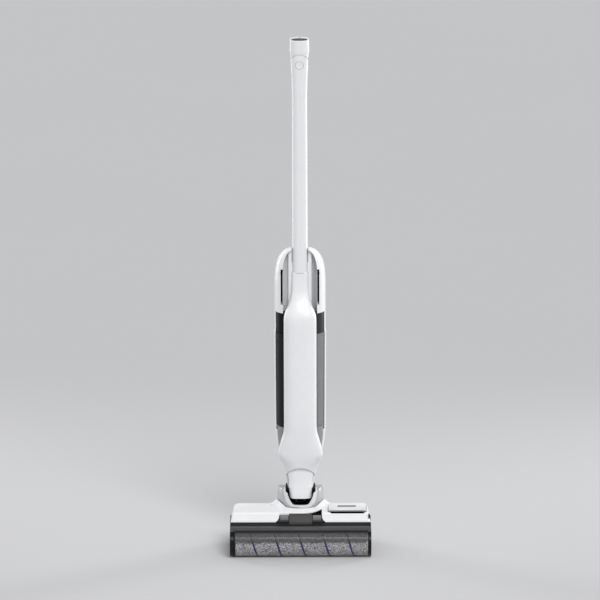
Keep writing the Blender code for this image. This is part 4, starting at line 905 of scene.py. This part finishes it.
def tank_panel(side, name):
    """White shell over the outside of a tank and its lid, with a black band near its top painted as the shade
    of a finger hollow.
    """
    wall, body = 1.4, TANK_BODY[side]
    levels = (TANK_FOOT, 246.0, 250.0, 257.0, 280.0, 310.0, 346.0, 380.0, 420.0, 448.0, TANK_TOP)
    top = [oval(z, half, TANK_FRONT, TANK_BACK, BODY_POWER)
           for z, half in ((451.6, 53.3), (453.4, 52.7), (456.0, 52.6), (475.0, 52.6), (LID_TOP, 52.6))]
    panel = loft(name + "_white", [body_ring(z) for z in levels] + top)
    inner = [body_ring(z, wall) for z in (230.0, 244.0, 257.0, 300.0, 346.0, 448.0)]
    inner += [oval(z, 52.6 - wall, 2.4, TANK_BACK - wall, BODY_POWER) for z in (456.0, 520.0)]
    keep(panel, half_space(side, front=PANEL_Y))
    cut(panel, loft("panel_inner", inner))
    show(panel, body, "white_plastic", WHITE, name, edge=0.35)
    low, high = 464.0, 480.0
    grip_rings = [oval(z, 52.7, TANK_FRONT, TANK_BACK + 0.1, BODY_POWER) for z in (low, high)]
    # Painted shade: a black band where a finger hollow would be dark. No hollow is cut.
    finger_hollow_shade = loft(name + "_grip", grip_rings)
    keep(finger_hollow_shade, side_box("grip_part", side, (8.0, 30.0), (60.0, low), (120.0, high)))
    show(finger_hollow_shade, body, "gloss_black", BLACK, edge=0.2)


def tanks():
    tank(-1, "dirty_water_tank", DIRTY, "smoked_plastic")
    tank(1, "clean_water_tank", CLEAR, "clear_plastic")
    tank_lid(-1, "dirty_tank_lid", LID)
    # The right lid is the black lid painted lighter, as painted light.
    tank_lid(1, "clean_tank_lid", LID_PAINTED_LIGHT)
    tank_panel(-1, "dirty_tank_panel")
    tank_panel(1, "clean_tank_panel")


HOUSING = [  # height, half width, front, back
    (HOUSING_FOOT, 52.6, 1.0, 87.0), (557.0, 52.5, 1.0, 87.0), (578.0, 51.4, 1.5, 86.0),
    (591.0, 49.2, 3.0, 83.0), (601.5, 46.4, 5.0, 77.5), (611.0, 42.0, 7.6, 69.5), (618.5, 37.0, 10.4, 60.0),
    (625.0, 30.0, 13.6, 50.0), (628.0, 23.0, 16.4, 42.0), (HOUSING_TOP, 19.0, 19.0, 38.0),
]
MOTOR_SPACE = [(480.0, 48.6, 34.6, 82.6), (559.0, 48.5, 34.6, 82.6), (575.0, 46.0, 36.0, 81.6)]
CHANNEL = [  # half width and height of the opening under the hoop
    (34.8, 480.0), (34.8, 586.0), (34.2, 594.0), (32.8, 602.0), (30.8, 609.5), (28.0, 615.6), (24.8, 620.4),
    (21.2, 623.6), (17.0, 625.6),
]
SPINE = [  # left half of the wall behind the column, from above
    (-SPINE_HALF, 40.0), (-SPINE_HALF, SPINE_Y + 3.0), (-SPINE_HALF + 0.8, SPINE_Y + 1.0),
    (-SPINE_HALF + 3.0, SPINE_Y),
]
POLE_WAY = 16.7  # half width of the way cut for the pole


def upper_housing():
    """A hoop over a recessed channel. The pole stands in the gap between the hoop's two ends."""
    shell = loft("upper_housing_white", [oval(*row, BODY_POWER) for row in dense(HOUSING, 3.0)])
    cut(shell, plate("channel", "Y", -20.0, CHANNEL_Y, mirrored(CHANNEL)))
    join(shell, plate("housing_spine", "Z", HOUSING_FOOT, 622.5, mirrored(SPINE)))
    pole_way = [oval(z, POLE_WAY, POLE_FRONT - 0.6, POLE_BACK + 0.6, POLE_POWER)
                for z in (POLE_FOOT - 1.4, 660.0)]
    meeting = oval(POLE_FOOT + 1.0, 17.2, POLE_FRONT - 0.5, COLUMN_BACK + 0.5, POLE_POWER)
    reach = (SLOT_X - SLOT_HALF, SLOT_X + SLOT_HALF)
    slots = [side_box("slot", side, reach, (-10.0, SLOT_FOOT), (44.0, SLOT_TOP)) for side, _ in SIDES]
    louvres = [box("louvre", (-20.0, 80.0, 520.0 + 5.6 * i), (20.0, 120.0, 522.2 + 5.6 * i))
               for i in range(9)]
    cut(
        shell,
        loft("motor_space", [oval(*row, BODY_POWER) for row in MOTOR_SPACE]),
        box("channel_column", (-34.9, -20.0, 480.0), (34.9, COLUMN_BACK + 0.4, 506.0)),
        loft("column_space", column_space(COLUMN[7:], 0.5, 0.5) + [meeting]),
        loft("pole_space", pole_way),
        box("pole_gap", (-POLE_WAY, -20.0, 600.0), (POLE_WAY, BODY_Y, 660.0)),
        *slots, *louvres,
    )
    show(shell, "stick", "white_plastic", WHITE, "upper_housing", edge=0.5, angle=36.0)
    near, foot = SPINE_HALF + 0.1, HOUSING_FOOT + 0.4
    half_floor = [(near, foot)] + [(x - 0.1, max(z - 0.6, foot)) for x, z in CHANNEL if x > SPINE_HALF]
    half_floor.append((near, 620.0))
    for side, name in SIDES:
        outline = [(side * x, z) for x, z in half_floor]
        floor = plate("channel_floor_" + name, "Y", CHANNEL_Y - 0.5, CHANNEL_Y - 0.02, outline)
        cut(floor, loft("channel_floor_column", column_space(COLUMN[6:], 0.5, 4.0)))
        # The channel floor is white moulding painted grey as shade in the recess.
        show(floor, "stick", "white_plastic", CHANNEL_PAINTED_SHADE, edge=0.0)
        # A black sheet at the back of each slot: painted shade in its depth.
        slot_shade = side_box("slot_liner_painted_shade_" + name, side, (33.4, 41.0), (43.4, 508.0), (45.2, 587.0))
        show(slot_shade, "stick", "black_plastic", BLACK, edge=0.0)


# ---- pole and handle ----
POLE = [  # height, half width
    (POLE_FOOT - 1.0, 16.32), (POLE_FOOT + 1.0, 16.32), (640.0, 16.3), (760.0, 16.2), (860.0, 16.0),
    (940.0, 15.8), (970.0, 16.4), (1000.0, 17.6), (POLE_TOP, 18.3), (1034.0, 19.3), (1036.0, 19.5),
]
HEAD = [  # height, half width, how far the front stands out
    (1022.0, 18.0, 0.0), (POLE_TOP, 18.3, 0.0), (1034.0, 19.6, 0.4), (1040.0, 20.5, 0.8), (1050.0, 20.2, 0.8),
    (HANDLE_TOP - 1.0, 19.8, 0.8), (HANDLE_TOP - 0.3, 19.5, 0.5), (HANDLE_TOP, 19.0, 0.0),
]
SEAM_R, SEAM_TOP = 20.0, 1033.6  # the arched seam under the handle's head
SEAM_AXIS = SEAM_TOP - SEAM_R
CLEAN_R, CLEAN_Y = 3.0, 49.4
GRIP_FOOT, GRIP_TOP = 870.0, 990.0
DISH_R = 40.0  # the hollow of the power key


def handle_back(z):
    return POLE_BACK + 4.0 * smoothstep(z, POLE_TOP, 1040.0)


def pole():
    rings = [oval(z, half, POLE_FRONT, POLE_BACK, POLE_POWER) for z, half in dense(POLE, 8.0)]
    tube = loft("pole_white", rings)
    below = box("arch_below", (-60.0, -20.0, 500.0), (60.0, 90.0, SEAM_AXIS))
    keep(tube, join(arch("arch", SEAM_R, SEAM_AXIS), below))
    cut(tube, joint_slot(), rod("power_well", POWER_R + 0.4, (0.0, 0.0, POWER_Z), (0.0, 22.0, POWER_Z)),
        box("grip_pocket", (-12.0, POLE_BACK - 1.6, GRIP_FOOT), (12.0, POLE_BACK + 5.0, GRIP_TOP)))
    show(tube, "stick", "white_plastic", WHITE, "pole", edge=0.35, angle=36.0)


def handle_head():
    rings = [oval(z, half, POLE_FRONT - out, handle_back(z), POLE_POWER) for z, half, out in dense(HEAD, 2.0)]
    head = loft("handle_head_white", rings)
    recess = [oval(z, 16.4, POLE_FRONT + 2.2, POLE_BACK - 8.0, POLE_POWER) for z in (1060.0, 1070.0)]
    cut(head, arch("arch_space", SEAM_R + 0.5, SEAM_AXIS),
        box("arch_space_below", (-60.0, -20.0, 1000.0), (60.0, 90.0, SEAM_AXIS)),
        loft("lens_recess", recess), upright("clean_hole", CLEAN_R + 0.4, CLEAN_Y, 1052.0, 1070.0))
    show(head, "stick", "white_plastic", WHITE, "handle_head", edge=0.4, angle=36.0)
    glass = [oval(z, 16.0 - tuck, POLE_FRONT + 2.6 + tuck, POLE_BACK - 8.4 - tuck, POLE_POWER)
             for z, tuck in ((1060.3, 0.0), (1062.2, 0.0), (1062.6, 0.4))]
    show(loft("display_glass", glass), "stick", "gloss_black", GLOSS, "display_lens", edge=0.0)


def keys():
    power = rod("power_key", POWER_R, (0.0, POLE_FRONT - 0.2, POWER_Z), (0.0, 20.6, POWER_Z), 72)
    mesh = bmesh.new()
    centre = Matrix.Translation(Vector((0.0, POLE_FRONT + 0.4 - DISH_R, POWER_Z)) * MM)
    bmesh.ops.create_uvsphere(mesh, u_segments=64, v_segments=48, radius=DISH_R * MM, matrix=centre)
    cut(power, from_bmesh(mesh, "power_dish"))
    show(power, "power_key", "white_plastic", WHITE, "power_button", edge=0.4)
    clean = upright("self_clean_key_cap", CLEAN_R, CLEAN_Y, 1054.0, HANDLE_TOP - 0.2, 40)
    show(clean, "self_clean_key", "grey_plastic", GREY, "self_clean_button", edge=0.4)


def grip():
    pad = box("rear_grip_pad", (-11.6, POLE_BACK - 1.2, GRIP_FOOT + 0.4),
              (11.6, POLE_BACK + 0.8, GRIP_TOP - 0.4))
    for groove in range(18):
        z = 878.0 + 6.0 * groove
        cut(pad, box("groove", (-9.0, POLE_BACK + 0.4, z), (9.0, POLE_BACK + 3.0, z + 2.0)))
    show(pad, "stick", "rubber", RUBBER, "rear_grip", edge=0.25)


def keep_cad():
    """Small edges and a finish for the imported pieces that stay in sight."""
    slots = {row["node"]: row["material_slot"] for row in frame["record"]["subparts"]}
    for name, obj in frame["nodes"].items():
        if obj.hide_render:
            continue
        obj.data.materials.clear()
        obj.data.materials.append(BY_SLOT[slots[name]])
        weld = obj.modifiers.new("weld", "WELD")
        weld.merge_threshold = 1e-5
        bevel = obj.modifiers.new("edges", "BEVEL")
        bevel.width, bevel.segments = 0.25 * MM, 1
        bevel.limit_method, bevel.angle_limit = "ANGLE", math.radians(40.0)


head_cover()
release_key()
roller_cover()
roller_pile()
cheeks()
wheels()
fork()
neck()
column()
lower_shell()
tanks()
upper_housing()
pole()
handle_head()
keys()
grip()
keep_cad()


# ---- floor, light and camera ----
FLOOR_GREY = (0.79, 0.79, 0.795)
KEY_WAY = (-0.26, 0.66, -0.84)  # from the left, in front and above
RIM_AIM = (0.0, 0.0, 0.62)


def light(name, kind, energy, way, place=(0.0, 0.0, 0.0)):
    data = bpy.data.lights.new(name, kind)
    data.energy = energy
    lamp = bpy.data.objects.new(name, data)
    bpy.context.scene.collection.objects.link(lamp)
    lamp.location = place
    lamp.rotation_euler = Vector(way).to_track_quat("-Z", "Y").to_euler()
    return data


def studio():
    scene = bpy.context.scene
    scene.view_settings.view_transform = "Standard"
    mesh = bmesh.new()
    bmesh.ops.create_grid(mesh, x_segments=8, y_segments=8, size=30.0)
    floor = from_bmesh(mesh, "studio_floor")
    floor.data.materials.append(painted("studio_paper", FLOOR_GREY, 0.85, 0.003, 0.03, 0.0, cloud=900.0))
    scene.world = bpy.data.worlds.new("studio_air")
    scene.world.use_nodes = True
    air = scene.world.node_tree.nodes["Background"].inputs
    air["Color"].default_value = (0.97, 0.98, 1.0, 1.0)
    air["Strength"].default_value = 0.5
    light("key", "SUN", 1.85, KEY_WAY).angle = math.radians(30.0)
    for name, side, watts in (("rim_left", -1, 4.5), ("rim_right", 1, 6.0)):
        place = Vector((side * 1.9, 1.2, 0.9))
        softbox = light(name, "AREA", watts, Vector(RIM_AIM) - place, place)
        softbox.shape, softbox.size, softbox.size_y = "RECTANGLE", 0.5, 2.2
        softbox.spread = math.radians(70.0)


def camera():
    rise, reach, aim = math.radians(15.0), 12.0, Vector((0.0, 0.0, 0.52))
    back = Vector((0.0, -math.cos(rise), math.sin(rise)))
    data = bpy.data.cameras.new("camera")
    data.lens, data.sensor_width, data.shift_y = 352.7, 36.0, 0.0045
    data.clip_start, data.clip_end = 0.5, 200.0
    eye = bpy.data.objects.new("camera", data)
    bpy.context.scene.collection.objects.link(eye)
    eye.location = aim + back * reach
    roll = Matrix.Rotation(math.radians(-0.15), 4, "Z")
    eye.rotation_euler = ((-back).to_track_quat("-Z", "Y").to_matrix().to_4x4() @ roll).to_euler()
    bpy.context.scene.camera = eye


studio()
camera()
